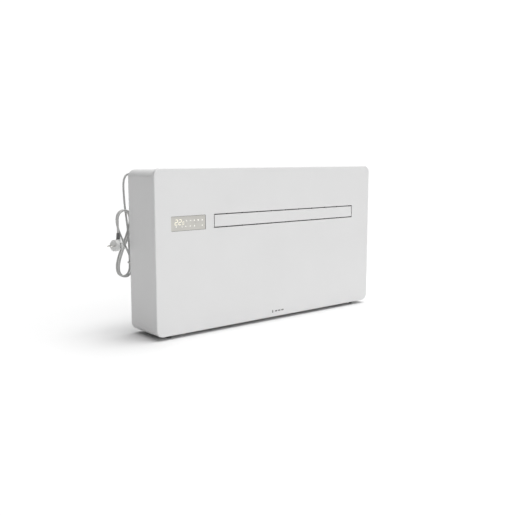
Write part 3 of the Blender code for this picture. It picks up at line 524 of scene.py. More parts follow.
def make_front_panel():
    panel = swept(
        rectangle(PANEL_CENTRE, PANEL_HALF, CORNER, 24), slab(FRONT, PANEL_HIGH.y, 0.0036, 0.0004, 6), "Y", ENAMEL)
    pocket = swept(
        rectangle(PANEL_CENTRE, shrunk(PANEL_HALF, WALL), CORNER - WALL, 24),
        slab(FRONT + WALL, PANEL_HIGH.y + 0.004, 0.0015), "Y", ENAMEL)
    through = 0.008
    outlet = opening(rectangle(OUTLET_CENTRE, OUTLET_HALF, 0.0015, 4), FRONT, through, "Y")
    window = opening(rectangle(WINDOW_CENTRE, WINDOW_HALF, 0.0025, 5), FRONT, through, "Y")
    mark_floor = FRONT + 0.0005
    sunk = swept(mark_outlines(0.0), [(0.0, FRONT - 0.001), (0.0, mark_floor)], "Y", ENAMEL)
    carve(panel, pocket, outlet, window, sunk)
    mark = swept(mark_outlines(-0.0001), slab(FRONT + 0.0001, mark_floor, 0.0001), "Y", MARK)
    keep("front_panel_shell", panel, "front_panel")
    keep("plain_mark", mark)


def make_case():
    case = ring(rectangle(CASE_CENTRE, CASE_HALF, CORNER, 24), CASE_LOW.y, BACK, WALL, 0.0006, "Y", ENAMEL)
    _, _, centre, half = seen("intake_grille", "Z")
    carve(case, opening(rectangle(centre, shrunk(half, -0.001), 0.0015, 4), CASE_LOW.z, 0.006, "Z"))
    keep("case_body", case, "case_shell")
    inset = 0.0022
    seal = ring(
        rectangle(CASE_CENTRE, shrunk(CASE_HALF, inset), CORNER - inset, 16),
        PANEL_HIGH.y - 0.0040, CASE_LOW.y + 0.0030, 0.0030, 0.0006, "Y", GREY)
    keep("panel_seal", seal)


def drain_place():
    """X and Z of the condensate spout."""
    low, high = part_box("condensate_tray")
    return (low.x + high.x) / 2 - 0.100, low.z + 0.012


def make_rear_panel():
    """Zinc sheet with pressed ribs, the holes of the ducts, hooks, drain and lead, and its screws."""
    panel = swept(
        rectangle(REAR_CENTRE, REAR_HALF, CORNER - 0.0023, 16), slab(REAR_LOW.y, REAR_HIGH.y, 0.0003, 0.0003, 2),
        "Y", ZINC)
    ribs = [
        rectangle((x, 0.270), (0.009, 0.145), 0.009, 8)
        for x in (-0.400, -0.320, -0.240, -0.160, -0.040, 0.040, 0.120, 0.200)
    ]
    ribs.append(rectangle((-0.1800, 0.0420), (0.2500, 0.007), 0.007, 8))
    pressed = ((0.0, -0.0004), (0.0006, 0.0004), (0.0030, 0.0017), (0.0046, 0.0020))
    fuse(panel, swept(ribs, [(inset, REAR_HIGH.y + height) for inset, height in pressed], "Y", ZINC))
    past = REAR_LOW.y - 0.01
    cutters = []
    for name in ("intake", "exhaust"):
        low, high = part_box(f"{name}_collar")
        centre = (low + high) / 2
        cutters.append(rod((centre.x, past, centre.z), (high.x - low.x) / 2 + 0.0008, 0, BITE, "Y", ZINC, steps=96))
    for (x, z), radius in ((seen("cord_gland", "Y")[2], 0.0060), (drain_place(), 0.0090)):
        cutters.append(rod((x, past, z), radius, 0, BITE, "Y", ZINC))
    hook_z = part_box("wall_bracket")[0].z + 0.037
    cutters.append(swept(
        [rectangle((side * HOOK_X, hook_z), (0.022, 0.006), 0.002, 4) for side in (-1, 1)],
        [(0, past), (0, past + BITE)], "Y", ZINC))
    carve(panel, *cutters)
    keep("rear_sheet", panel, "rear_panel")
    inset = 0.010
    heads = [
        (x, z) for x in spread(REAR_LOW.x + 0.040, REAR_HIGH.x - 0.040, 7)
        for z in (REAR_LOW.z + inset, REAR_HIGH.z - inset)
    ]
    heads += [
        (x, z) for z in spread(REAR_LOW.z + 0.100, REAR_HIGH.z - 0.160, 3)
        for x in (REAR_LOW.x + inset, REAR_HIGH.x - inset)
    ]
    keep("rear_screws", group(*[screw_head(x, z) for x, z in heads]))


def screw_head(x, z):
    face, height = REAR_HIGH.y, 0.0021
    profile = [(0.0033, 0.0002), (0.0034, 0.0006), (0.0030, 0.0014), (0.0020, 0.0019), (0.0008, height)]
    head = lathe((x, face, z), profile, "Y", NICKEL, 20)
    return carve(head, cross_recess((x, face + height, z), 0.0017, 0.0012, "Y", -1))


def make_wall_bracket():
    """Steel strip with rounded edges, screw holes, slots and two folded hooks."""
    low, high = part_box("wall_bracket")
    top, back = high.z - 0.006, high.y - WALL
    centre = ((low.x + high.x) / 2, (low.z + top) / 2)
    half = ((high.x - low.x) / 2, (top - low.z) / 2)
    strip = swept(rectangle(centre, half, 0.004, 6), slab(back, high.y, 0.0004, 0.0004, 2), "Y", ZINC)
    arm, mid = top - 0.010, high.y - WALL / 2
    hook = rounded([(low.y, arm), (mid, arm), (mid, arm + WALL), (low.y + WALL, arm + WALL),
                    (low.y + WALL, high.z), (low.y, high.z)], 0.0009)
    for side in (-1, 1):
        fuse(strip, extruded(hook, side * HOOK_X - 0.020, side * HOOK_X + 0.020, "X", ZINC, 0.0003))
    past, middle = high.y - 0.01, centre[1] - 0.006
    holes = [circle((x, middle), 0.004, 32) for x in spread(-0.325, 0.325, 6)]
    slots = [rectangle((x, middle), (0.014, 0.0032), 0.0032, 8) for x in spread(-0.260, 0.260, 5)]
    carve(strip, swept(holes + slots, [(0, past), (0, past + 0.02)], "Y", ZINC))
    keep("bracket_strip", strip, "wall_bracket")


def make_feet():
    """Turned rubber feet: a waisted body with a groove, a soft lower edge and a screw recess."""
    for node in [f"foot_{side}_{end}" for side in ("left", "right") for end in ("front", "rear")]:
        low, high, centre, half = seen(node, "Z")
        top, bottom, wide, narrow = high.z, low.z, half[0], 0.0125
        corners = [
            (0.0045, bottom + 0.0040), (0.0045, bottom), (narrow, bottom), (narrow + 0.0008, top - 0.0040),
            (narrow - 0.0006, top - 0.0034), (narrow - 0.0004, top - 0.0022), (wide, top - 0.0016), (wide, top),
            (CAP, top)]
        keep(f"rubber_{node}", turned((*centre, 0), corners, 0.0009, 3, "Z", RUBBER, 48), node)


def make_panel_screws():
    for node in ("panel_screw_left", "panel_screw_right"):
        low, high, centre, (radius, _) = seen(node, "Z")
        corners = [
            (0.0008, low.z), (radius * 0.82, low.z), (radius, low.z + 0.0009), (radius, high.z), (0.0008, high.z)]
        head = turned((*centre, 0), corners, 0.0004, 3, "Z", NICKEL, 40)
        carve(head, cross_recess((*centre, low.z), 0.0021, 0.0013, "Z", 1))
        keep(f"pan_{node}", head, node)


# ---- outlet and flap ----
def make_outlet_frame():
    """Moulded sleeve with a rounded mouth, its guide vanes and the flap's bearing holes."""
    low, high, centre, half = seen("outlet_frame", "Y")
    wall = 0.0016
    sleeve = ring(rectangle(centre, half, 0.0015, 4), low.y, high.y, wall, 0.0005, "Y", BLACK)
    tip, root = FRONT + 0.0165, FRONT + 0.0210
    vanes = []
    for x in spread(centre[0] - 4 * 0.068, centre[0] + 4 * 0.068, 9):
        section = rounded([(x - 0.0008, tip), (x + 0.0008, tip), (x + 0.0005, root), (x - 0.0005, root)], 0.0004, 3)
        vanes.append(extruded(section, low.z + wall / 2, high.z - wall / 2, "Z", BLACK))
    fuse(sleeve, group(*vanes))
    carve(sleeve, *[rod((x, *PIVOT.yz), 0.0030, -0.004, 0.004, "X", BLACK, steps=32) for x in (low.x, high.x)])
    keep("outlet_sleeve", sleeve, "outlet_frame")


def make_flap():
    """The tilting flap: an enamelled face with a ribbed back, two lugs and their pins."""
    half = (OUTLET_HALF[0] - 0.003, OUTLET_HALF[1] - 0.0034)
    thick, wall, rib, bays = 0.006, 0.0018, 0.0008, 12
    x, z = OUTLET_CENTRE
    flap = swept(rectangle(OUTLET_CENTRE, half, 0.0014, 5), slab(FRONT, FRONT + thick, 0.0010, 0.0005), "Y", ENAMEL)
    width = 2 * (half[0] - wall)
    pitch = width / bays
    rows = ((-half[1] + wall + 0.0045, 0.0035 - rib), (0.0035 + rib, half[1] - wall))
    pockets = [
        rectangle((x - width / 2 + (i + 0.5) * pitch, z + (low + high) / 2), (pitch / 2 - rib, (high - low) / 2),
                  0.0022, 4)
        for i in range(bays) for low, high in rows
    ]
    carve(flap, swept(pockets, slab(FRONT + wall, FRONT + thick + 0.002, 0.0009, 0.0, 3), "Y", ENAMEL))
    for side in (-1, 1):
        edge = x + side * half[0]
        near, far = sorted((edge - side * 0.0004, edge - side * 0.0056))
        lug = block((near, FRONT + 0.004, PIVOT.z - 0.0042), (far, PIVOT.y + 0.0035, PIVOT.z + 0.0045), ENAMEL,
                    0.0006, 3)
        start, end = sorted((edge + side * 0.0058, edge - side * 0.004))
        fuse(flap, lug, rod((0, *PIVOT.yz), 0.0024, start, end, "X", ENAMEL, 0.0004, 24))
    keep("flap_blade", flap, "flap", "outlet_flap")


# ---- display ----
SEGMENTS = {"2": "abged", "0": "abcdef"}


def digit_outlines(character, left, bottom, width, height, bar, lean=0.10):
    """Seven-segment strokes as six-cornered loops that lean to the right."""
    middle = bottom + height / 2
    right, top = left + width, bottom + height
    gap = bar * 0.12
    lines = {
        "a": ((left, top), (right, top)), "g": ((left, middle), (right, middle)),
        "d": ((left, bottom), (right, bottom)), "b": ((right, middle), (right, top)),
        "c": ((right, bottom), (right, middle)), "e": ((left, bottom), (left, middle)),
        "f": ((left, middle), (left, top)),
    }
    loops = []
    for letter in SEGMENTS[character]:
        start, end = (Vector(point) for point in lines[letter])
        along = (end - start).normalized()
        side = Vector((-along.y, along.x)) * bar / 2
        start, end = start + along * gap, end - along * gap
        nose = along * bar / 2
        loop = [start, start + nose + side, end - nose + side, end, end - nose - side, start + nose - side]
        loops.append([(point.x + (point.y - bottom) * lean, point.y) for point in loop])
    return loops


def icon_outlines(shape, x, z):
    """Plain touch symbols, each a few small solid shapes."""
    if shape == "dot":
        return [circle((x, z), 0.0019, 20)(0)]
    if shape == "dash":
        return [rectangle((x, z), (0.0028, 0.0011), 0.0011, 4)(0)]
    if shape == "ring":
        return [circle((x + 0.0022 * math.cos(t), z + 0.0022 * math.sin(t)), 0.0006, 10)(0)
                for t in (math.tau * i / 8 for i in range(8))]
    turns = [math.tau * i / 24 for i in range(24)]
    if shape == "drop":
        return [[(x + 0.0019 * math.cos(t) * (1 - 0.45 * math.sin(t)), z + 0.0029 * math.sin(t)) for t in turns]]
    lean = Matrix.Rotation(math.radians(-38), 2)
    loop = [lean @ Vector((0.0034 * math.cos(t), 0.0019 * math.sin(t) * (1 - 0.3 * math.cos(t)))) for t in turns]
    return [[(x + point.x, z + point.y) for point in loop]]


def make_display():
    """The window with its lit digits and touch symbols, each placed from the window's centre."""
    left, middle = WINDOW_CENTRE
    window = swept(
        rectangle(WINDOW_CENTRE, shrunk(WINDOW_HALF, 0.0008), 0.002, 6),
        slab(LENS_LOW.y, LENS_HIGH.y, 0.0004, 0.0002, 3), "Y", LENS)
    keep("display_window", window, "display_lens")
    digits, icons = [], []
    large, small = (0.0096, 0.0168, 0.0020), (0.0052, 0.0095, 0.0013)
    for x, character, sizes in ((-0.0530, "2", large), (-0.0385, "2", large), (-0.0238, "0", small)):
        digits += digit_outlines(character, left + x, middle - 0.0038, *sizes)
    upper = ((-0.0078, "leaf"), (0.0083, "dash"), (0.0230, "drop"), (0.0388, "leaf"), (0.0547, "drop"))
    lower = ((-0.0478, "dot"), (-0.0250, "ring"), (-0.0112, "dash"), (0.0067, "dot"), (0.0233, "drop"),
             (0.0547, "dot"))
    for row, height in ((upper, 0.0083), (lower, -0.0100)):
        for x, shape in row:
            icons += icon_outlines(shape, left + x, middle + height)
    proud = [(0, LENS_LOW.y - 0.00015), (0, LENS_LOW.y + 0.0001)]
    for name, loops, material in (("lit_digits", digits, DIGITS), ("lit_icons", icons, ICONS)):
        keep(name, swept([fixed(loop) for loop in loops], proud, "Y", material))


# ---- supply fan ----
SCROLL_LOW, SCROLL_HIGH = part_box("fan_scroll")
DRUM_RADIUS = 0.045
DRUM_X = (SCROLL_LOW.x + 0.0055, SCROLL_HIGH.x - 0.0055)


def drum_point(angle, radius):
    """A point round the drum's axis in the YZ plane; the angle is from +Y towards +Z, in degrees."""
    turn = math.radians(angle)
    return AXLE.y + radius * math.cos(turn), AXLE.z + radius * math.sin(turn)


def make_scroll():
    """The scroll and its tongue: bent sheets as wide as the fan, from beside the drum to the outlet."""
    outlet_y, mouth = FRONT + 0.0225, OUTLET_HALF[1] - 0.0005
    scroll = [drum_point(angle, 0.0495 + 0.0145 * (70 - angle) / 170) for angle in range(70, -101, -5)]
    tongue = [drum_point(168, 0.0505), drum_point(180, 0.0490), drum_point(197, 0.0488), drum_point(208, 0.0500)]
    for name, node, line, side, edge, arc_steps in (
        ("scroll_sheet", "fan_scroll", scroll, -1, 0.004, 3), ("tongue_sheet", "fan_tongue", tongue, 1, 0.006, 4),
    ):
        line = rounded([*line, (outlet_y, OUTLET_CENTRE[1] + side * mouth)], edge, arc_steps, closed=False)
        sheet = extruded(ribbon(line, lambda share: 0.0009), SCROLL_LOW.x, SCROLL_HIGH.x, "X", ZINC)
        keep(name, sheet, node)


def blade_loop(turn, inner, outer, half_chord, thickness):
    """The crescent section of one drum blade, in the YZ plane about the axle."""
    steps = 6
    line = []
    for i in range(steps + 1):
        share = i / steps
        angle = turn + half_chord * (2 * share - 1) + half_chord * 0.5 * math.sin(math.pi * share)
        radius = inner + (outer - inner) * share
        line.append((radius * math.cos(angle), radius * math.sin(angle)))
    loop = ribbon(line, lambda share: thickness * (0.35 + 0.65 * math.sin(math.pi * share)))
    return [(y + AXLE.y, z + AXLE.z) for y, z in loop]


def make_drum():
    """Cross-flow drum: curved blades through nine discs, with a stub shaft at each end."""
    blades, discs, disc_half = 36, 9, 0.0015
    loops = [
        blade_loop(math.tau * i / blades, 0.0340, DRUM_RADIUS - 0.0006, math.radians(5.0), 0.0006)
        for i in range(blades)
    ]
    start, end = DRUM_X
    centre = (0, AXLE.y, AXLE.z)
    drum = swept([fixed(loop) for loop in loops], [(0, start + 0.001), (0, end - 0.001)], "X", BLACK)
    parts = []
    for i, x in enumerate(spread(start + disc_half, end - disc_half, discs)):
        inner = 0.0310 if 0 < i < discs - 1 else 0.0030
        parts.append(tube(centre, DRUM_RADIUS, inner, x - disc_half, x + disc_half, "X", BLACK, 0.0004, 72))
    for low, high in ((start - 0.014, start + 0.003), (end - 0.003, end + 0.010)):
        parts.append(rod(centre, 0.004, low, high, "X", BLACK, 0.0006, 32))
    fuse(drum, *parts)
    keep("drum", drum, "supply_drum", "supply_fan")


# ---- ducts ----
LEAF_Y = JOINT_AT["intake_leaf_left_swing"][1]
PIN_RADIUS = 0.0018


def make_ducts():
    """Collars with a stop ring and a damper pin, and the foam rings that seal them to the wall."""
    for name in ("intake", "exhaust"):
        low, high, (x, z), (outer, _) = seen(f"{name}_collar", "Y")
        centre = (x, 0, z)
        collar = lathe(centre, rounded(
            [(outer, low.y), (outer, high.y), (DUCT_RADIUS, high.y), (DUCT_RADIUS, low.y)], 0.0009),
            "Y", GREY, 128, closed=True)
        stop = tube(centre, DUCT_RADIUS + 0.001, DUCT_RADIUS - 0.0008, LEAF_Y - 0.0042, LEAF_Y - 0.0022, "Y", GREY,
                    0.0004, 128)
        reach = DUCT_RADIUS + 0.001
        fuse(collar, stop, rod((x, LEAF_Y, 0), PIN_RADIUS, z - reach, z + reach, "Z", GREY, steps=24))
        keep(f"{name}_sleeve", collar, f"{name}_collar")
        low, high, _, (wide, _) = seen(f"{name}_gasket", "Y")
        seal = tube(centre, wide, outer + 0.0007, low.y, high.y, "Y", FOAM, 0.0022)
        keep(f"{name}_wall_seal", seal, f"{name}_gasket")
        make_leaf(name, "left", -1, x, z)
        make_leaf(name, "right", 1, x, z)


def make_leaf(name, label, side, x, z):
    """A damper leaf: a half disc with three ribs, and two knuckles round the pin."""
    radius = DUCT_RADIUS - 0.0015
    edge = PIN_RADIUS + 0.0032
    near, far = LEAF_Y - 0.0008, LEAF_Y + 0.0008

    def half_disc(inset):
        reach = radius - inset
        limit = math.acos(min(1.0, (edge + inset) / reach))
        turns = [limit * (2 * i / 48 - 1) for i in range(49)]
        return [(x + side * reach * math.cos(t), z + reach * math.sin(t)) for t in turns]

    leaf = swept(half_disc, slab(near, far, 0.0004, 0.0004, 2), "Y", BLACK)
    parts = []
    for angle, rise in ((-44, -0.012), (0, 0.0), (44, 0.012)):
        turn = math.radians(angle)
        along = Vector((side * math.cos(turn), math.sin(turn)))
        foot = Vector((x + side * (edge - 0.001), z))
        foot.y += rise
        across = Vector((-along.y, along.x)) * 0.0009
        start, end = foot + along * 0.004, foot + along * 0.040
        loop = [tuple(point) for point in (start + across, end + across, end - across, start - across)]
        parts.append(extruded(loop, far - 0.0003, far + 0.0011, "Y", BLACK, 0.0003))
    length = 0.012
    for k in range(2):
        height = z - 0.036 + k * 0.048 + (0.0 if side < 0 else 0.018)
        parts.append(rod((x, LEAF_Y, height), 0.0040, 0, length, "Z", BLACK, 0.0005, 32))
        first, last = sorted((x + side * 0.003, x + side * (edge + 0.001)))
        parts.append(block((first, near, height), (last, far, height + length), BLACK))
    fuse(leaf, *parts)
    carve(leaf, rod((x, LEAF_Y, z), PIN_RADIUS + 0.0005, -0.07, 0.07, "Z", BLACK, steps=32))
    keep(f"{name}_leaf_{label}", leaf, f"{name}_damper_{label}", f"{name}_leaf_{label}")


# ---- exhaust fan ----
def make_exhaust_fan():
    """Axial fan: flanged shroud, strutted motor and a rotor of seven twisted blades."""
    low, high, (x, z), half = seen("exhaust_fan_shroud", "Y")
    centre, inner, past = (x, 0, z), 0.0632, low.y - 0.01
    shroud = tube(centre, 0.0655, inner, low.y, high.y, "Y", BLACK, 0.0006, 128)
    fuse(shroud, swept(rectangle((x, z), (half[0], half[0]), 0.008, 8),
                       slab(low.y, low.y + 0.003, 0.0006, 0.0006, 2), "Y", BLACK))
    holes = [circle((x + u * 0.058, z + v * 0.058), 0.0022, 20) for u in (-1, 1) for v in (-1, 1)]
    carve(shroud, rod((x, past, z), inner, 0, 0.08, "Y", BLACK, steps=128),
          swept(holes, [(0, past), (0, low.y + 0.02)], "Y", BLACK))
    low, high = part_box("exhaust_motor")
    motor = rod(centre, 0.0220, low.y, high.y, "Y", BLACK, 0.0012, 64)
    struts = []
    for i in range(3):
        strut = block((0.018, 0.006, -0.0025), (0.0624, 0.012, 0.0025), BLACK, 0.0008, 3)
        turn = Matrix.Rotation(math.radians(90 + 120 * i), 4, "Y")
        strut.data.transform(Matrix.Translation(centre) @ turn)
        struts.append(strut)
    fuse(motor, *struts)
    keep("fan_shroud", shroud, "exhaust_fan_shroud")
    keep("fan_motor", motor, "exhaust_motor")
    low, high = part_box("exhaust_impeller")
    hub, blades = 0.0240, 7
    rotor = turned(
        centre, [(CAP, low.y), (hub, low.y), (hub, high.y), (CAP, high.y)], 0.0035, 6, "Y", BLACK, 72)
    fuse(rotor, *[fan_blade(centre, math.tau * i / blades) for i in range(blades)])
    keep("fan_rotor", rotor, "exhaust_impeller", "exhaust_fan")


def fan_blade(centre, turn):
    """A blade lofted from root to tip: an arched section that flattens and leans back as it goes out."""
    middle_y = JOINT_AT["exhaust_fan_spin"][1]
    root, tip, sections, across = 0.0215, 0.0602, 7, 8
    places = [(1, p / across) for p in range(across + 1)] + [(-1, p / across) for p in range(across - 1, 0, -1)]

    def build(work):
        rings = []
        for share in (s / (sections - 1) for s in range(sections)):
            radius = root + (tip - root) * share
            chord = 0.0225 + 0.0055 * math.sin(math.pi * share * 0.8)
            pitch = math.radians(50 - 16 * share)
            lean = 0.18 * share * share
            section = []
            for side, t in places:
                along = chord * (t - 0.5)
                arch = 0.0022 * math.sin(math.pi * t) + side * 0.0009 * math.sin(math.pi * t)
                axial = along * math.cos(pitch) - arch * math.sin(pitch)
                aside = along * math.sin(pitch) + arch * math.cos(pitch)
                angle = turn - lean + aside / radius
                section.append(work.verts.new((
                    centre[0] + radius * math.cos(angle), middle_y + axial * 0.98,
                    centre[2] - radius * math.sin(angle))))
            rings.append(section)
        skin(work, rings)

    blade = solid(build, BLACK)
    smooth(blade)
    return blade


# ---- condensate tray ----
def make_tray():
    """Open tray with a barbed spout through the back."""
    low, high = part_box("condensate_tray")
    spout_end = high.y
    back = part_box("core_rest_left")[1].y + 0.004
    centre = ((low.x + high.x) / 2, (low.y + back) / 2)
    half = ((high.x - low.x) / 2, (back - low.y) / 2)
    tray = swept(rectangle(centre, half, 0.006, 8), slab(low.z, high.z, 0.0015, 0.0006, 3), "Z", BLACK)
    hollow = slab(low.z + WALL, high.z + 0.01, 0.0012, 0.0, 3)
    carve(tray, swept(rectangle(centre, shrunk(half, WALL), 0.004, 8), hollow, "Z", BLACK))
    x, z = drain_place()
    barbs = [(0.0076, back - 0.001), (0.0076, spout_end - 0.0075)]
    for y in (spout_end - 0.0072 + i * 0.0024 for i in range(3)):
        barbs += [(0.0080, y), (0.0072, y + 0.0022)]
    barbs += [(0.0066, spout_end), (0.0060, spout_end)]
    fuse(tray, lathe((x, 0, z), barbs, "Y", BLACK, 48))
    carve(tray, rod((x, back - 0.01, z), 0.0056, 0, 0.05, "Y", BLACK))
    keep("drain_tray", tray, "condensate_tray")


# ---- filter cassette ----
def make_cassette():
    """Slotted grille, filter frame and pleated fleece, which slide down out of the casing together."""
    low, high, centre, half = seen("intake_grille", "Z")
    grille = swept(rectangle(centre, half, 0.0015, 4), slab(low.z, high.z, 0.0006, 0.0004, 3), "Z", ENAMEL)
    rows, columns, bar = 2, 52, 0.0022
    pitch = 2 * (half[0] - 0.010) / columns
    row_half = (half[1] - 0.006) / rows - bar
    slots = []
    for row in range(rows):
        y = centre[1] + (row - (rows - 1) / 2) * 2 * (row_half + bar)
        for column in range(columns):
            x = centre[0] + (column - (columns - 1) / 2) * pitch
            slots.append(rectangle((x, y), (pitch / 2 - 0.0016, row_half), 0.0026, 5))
    rim = [(-0.0005, low.z - 0.001), (-0.0005, low.z), (0.0, low.z + 0.0005), (0.0, high.z + 0.001)]
    carve(grille, swept(slots, rim, "Z", ENAMEL))
    keep("grille", grille, "intake_grille", "filter_cassette")
    low, high, _, half = seen("extract_filter_frame", "Z")
    holder = ring(rectangle(centre, half, 0.002, 4), low.z, high.z, 0.006, 0.0005, "Z", GREY, 2)
    keep("filter_holder", holder, "extract_filter_frame", "filter_cassette")
    fleece = pleats("extract_filter_media", 46)
    keep("filter_fleece", fleece, "extract_filter_media", "filter_cassette")


def pleats(node, count):
    """Round-folded fleece of one thickness, as wide and deep as its CAD solid."""
    low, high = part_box(node)
    sheet = 0.0007
    steps = count * 10
    middle, swing = (low.z + high.z) / 2, (high.z - low.z) / 2 - sheet
    line = []
    for share in (i / steps for i in range(steps + 1)):
        wave = math.sin(math.tau * count * share)
        line.append((low.x + sheet + (high.x - low.x - 2 * sheet) * share,
                     middle + swing * math.copysign(abs(wave) ** 0.8, wave)))
    return extruded(ribbon(line, lambda share: sheet / 2), low.y, high.y, "Y", MEDIA)


# ---- boards and motors ----
def make_control_board():
    """The control board with its parts as separate pieces, where the plain one stands."""
    low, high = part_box("control_board")
    face, inset = high.y - 0.0016, 0.004
    chip, can, fin, fins = 0.0002, (0.004, 0.014), (0.0012, 0.022, 0.050), 7

    def part(place, size, material, edge=0.0006):
        """A block standing on the board: its lower left corner and its width, reach and height."""
        x, z = low.x + place[0], low.z + place[1]
        return block((x, face - size[1], z), (x + size[0], face - 0.0001, z + size[2]), material, edge)

    plate = block((low.x, face, low.z), high, BOARD, 0.0003)
    corners = [(x, z) for x in (low.x + inset, high.x - inset) for z in (low.z + inset, high.z - inset)]
    carve(plate, *[rod((x, face, z), 0.0016, -0.01, 0.01, "Y", BOARD, 0.0, 20) for x, z in corners])
    keep("control_board_plate", plate, "control_board")
    keep("transformer_core", part((0.045, 0.019), (0.040, 0.026, 0.024), NICKEL))
    keep("transformer_coil", part((0.053, 0.014), (0.024, 0.030, 0.034), BLACK, 0.0020))
    keep("relay", part((0.012, 0.015), (0.020, 0.016, 0.024), BLACK, 0.0008))
    keep("chips", group(
        part((0.100, 0.044), (0.014, 0.0022, 0.014), BLACK, chip),
        part((0.100, 0.066), (0.018, 0.0022, 0.008), BLACK, chip),
        part((0.022, 0.046), (0.010, 0.0018, 0.006), BLACK, chip)))
    keep("capacitors", group(*[
        rod((low.x + x, face, low.z + z), radius, -reach, -0.0001, "Y", BLACK, 0.0007, 32)
        for x, z, radius, reach in ((0.105, 0.025, 0.007, 0.024), (0.046, 0.058, *can), (0.057, 0.058, *can))]))
    keep("heatsink", group(part((0.128, 0.030), (0.030, 0.004, 0.050), NICKEL, 0.0005), *[
        part((0.128 + 0.0288 * i / (fins - 1), 0.030), fin, NICKEL, 0.0003) for i in range(fins)]))
    keep("board_sockets", group(*[
        part((0.084 + 0.026 * i, 0.086), (0.020, 0.009, 0.006), PALE, 0.0005) for i in range(3)]))


def make_terminal_block():
    low, high, centre, _ = seen("terminal_block", "Y")
    rail = block(low, high, PALE, 0.0006)
    middle, slot = centre[1], 0.0005
    wells, screws = [], []
    for x in spread(low.x + 0.0065, high.x - 0.0065, 6):
        place = (x, low.y, middle + 0.003)
        wells.append(rod(place, 0.0034, -0.002, 0.004, "Y", PALE, 0.0, 24))
        wells.append(block(
            (x - 0.0030, low.y + 0.003, low.z - 0.002), (x + 0.0030, low.y + 0.009, low.z + 0.006), PALE))
        screw = rod(place, 0.0029, 0.0024, 0.0060, "Y", NICKEL, 0.0003, 24)
        screws.append(carve(screw, block(
            (x - slot, low.y + 0.0014, middle - 0.002), (x + slot, low.y + 0.0034, middle + 0.008), NICKEL)))
    carve(rail, *wells)
    keep("terminal_rail", rail, "terminal_block")
    keep("terminal_screws", group(*screws))


def make_supply_motor():
    """Round can with cooling grooves near both ends of its cradle, and a cap over its rear bearing."""
    low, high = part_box("supply_motor")
    radius, cap, length = (high.z - low.z) / 2, 0.015, high.x - low.x
    can = length - 0.009
    corners = [(CAP, 0.0), (radius - 0.002, 0.0), (radius, 0.002)]
    for start in (0.0055, 0.0100, 0.0460, 0.0505, 0.0550):
        corners += [(radius, start), (radius - 0.0014, start + 0.0006), (radius - 0.0014, start + 0.0018),
                    (radius, start + 0.0024)]
    corners += [(radius, can - 0.002), (radius - 0.002, can), (cap, can), (cap, length - 0.001),
                (cap - 0.001, length), (CAP, length)]
    motor = lathe((low.x, AXLE.y, AXLE.z), corners, "X", ZINC, 72)
    keep("supply_motor_can", motor, "supply_motor")


def make_flap_motor():
    """Small geared motor with a housing for its five leads."""
    low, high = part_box("flap_motor")
    radius, length = (high.z - low.z) / 2, high.x - low.x
    y, z = low.y + radius, (low.z + high.z) / 2
    motor = rod((low.x, y, z), radius, 0.0, length, "X", GREY, 0.0008)
    fuse(motor, block((low.x + 0.003, y + 0.008, z - 0.007), (low.x + 0.012, high.y, z + 0.007), GREY, 0.0006))
    carve(motor, *[
        block((low.x + 0.0065, high.y - 0.003, z + offset - 0.0008),
              (low.x + 0.0085, high.y + 0.002, z + offset + 0.0008), GREY)
        for offset in spread(-0.005, 0.005, 5)
    ])
    keep("flap_motor_can", motor, "flap_motor")


# ---- stage, light and camera ----
SKY_LEVEL = 0.06
SKY_TILT = {"X": 0.62, "Y": -0.43, "Z": 0.95}
SKY_LOWEST = 0.02
BACKDROP = 1.05
SUN_ENERGY = 1.85
SUN_SPREAD = 40
SUN_FROM = (0.18, -0.08, 1.0)


def make_stage():
    bpy.ops.mesh.primitive_plane_add(size=60.0, location=(0, 0, 0))
    floor = bpy.context.active_object
    floor.name = "floor"
    floor.data.materials.append(finish("floor_paper", (0.82, 0.82, 0.82), 0.9, bumps=[((20.0, 2.0), 0.01, 0.001)]))


def make_light():
    """A sky that brightens to one side and upwards, a plain backdrop behind it, and a soft sun."""
    world = bpy.data.worlds.new("studio")
    bpy.context.scene.world = world
    world.use_nodes = True
    tree = world.node_tree
    tree.nodes.clear()
    place = add_node(tree, "ShaderNodeTexCoord").outputs["Generated"]
    parts = add_node(tree, "ShaderNodeSeparateXYZ", {"Vector": place})
    level = SKY_LEVEL
    for axis, weight in SKY_TILT.items():
        terms = {0: parts.outputs[axis], 1: weight, 2: level}
        level = add_node(tree, "ShaderNodeMath", terms, "MULTIPLY_ADD").outputs[0]
    level = add_node(tree, "ShaderNodeMath", {0: level, 1: SKY_LOWEST}, "MAXIMUM").outputs[0]
    fill = add_node(tree, "ShaderNodeBackground", {"Color": WHITE, "Strength": level})
    backdrop = add_node(tree, "ShaderNodeBackground", {"Color": WHITE, "Strength": BACKDROP})
    path = add_node(tree, "ShaderNodeLightPath").outputs["Is Camera Ray"]
    choose = add_node(tree, "ShaderNodeMixShader", {0: path, 1: fill.outputs[0], 2: backdrop.outputs[0]})
    add_node(tree, "ShaderNodeOutputWorld", {"Surface": choose.outputs[0]})
    sun = link("key", bpy.data.lights.new("key", "SUN"))
    sun.data.energy = SUN_ENERGY
    sun.data.angle = math.radians(SUN_SPREAD)
    sun.rotation_euler = Vector(SUN_FROM).to_track_quat("Z", "Y").to_euler()


def make_camera():
    camera = link("camera", bpy.data.cameras.new("camera"))
    camera.location = (-1.665, -1.9885, 0.5945)
    camera.rotation_euler = (math.pi / 2 - 0.142, 0, -0.693)
    camera.data.lens = 48.88
    camera.data.sensor_width = 36
    camera.data.clip_end = 200
    bpy.context.scene.camera = camera
    bpy.context.scene.view_settings.view_transform = "Standard"


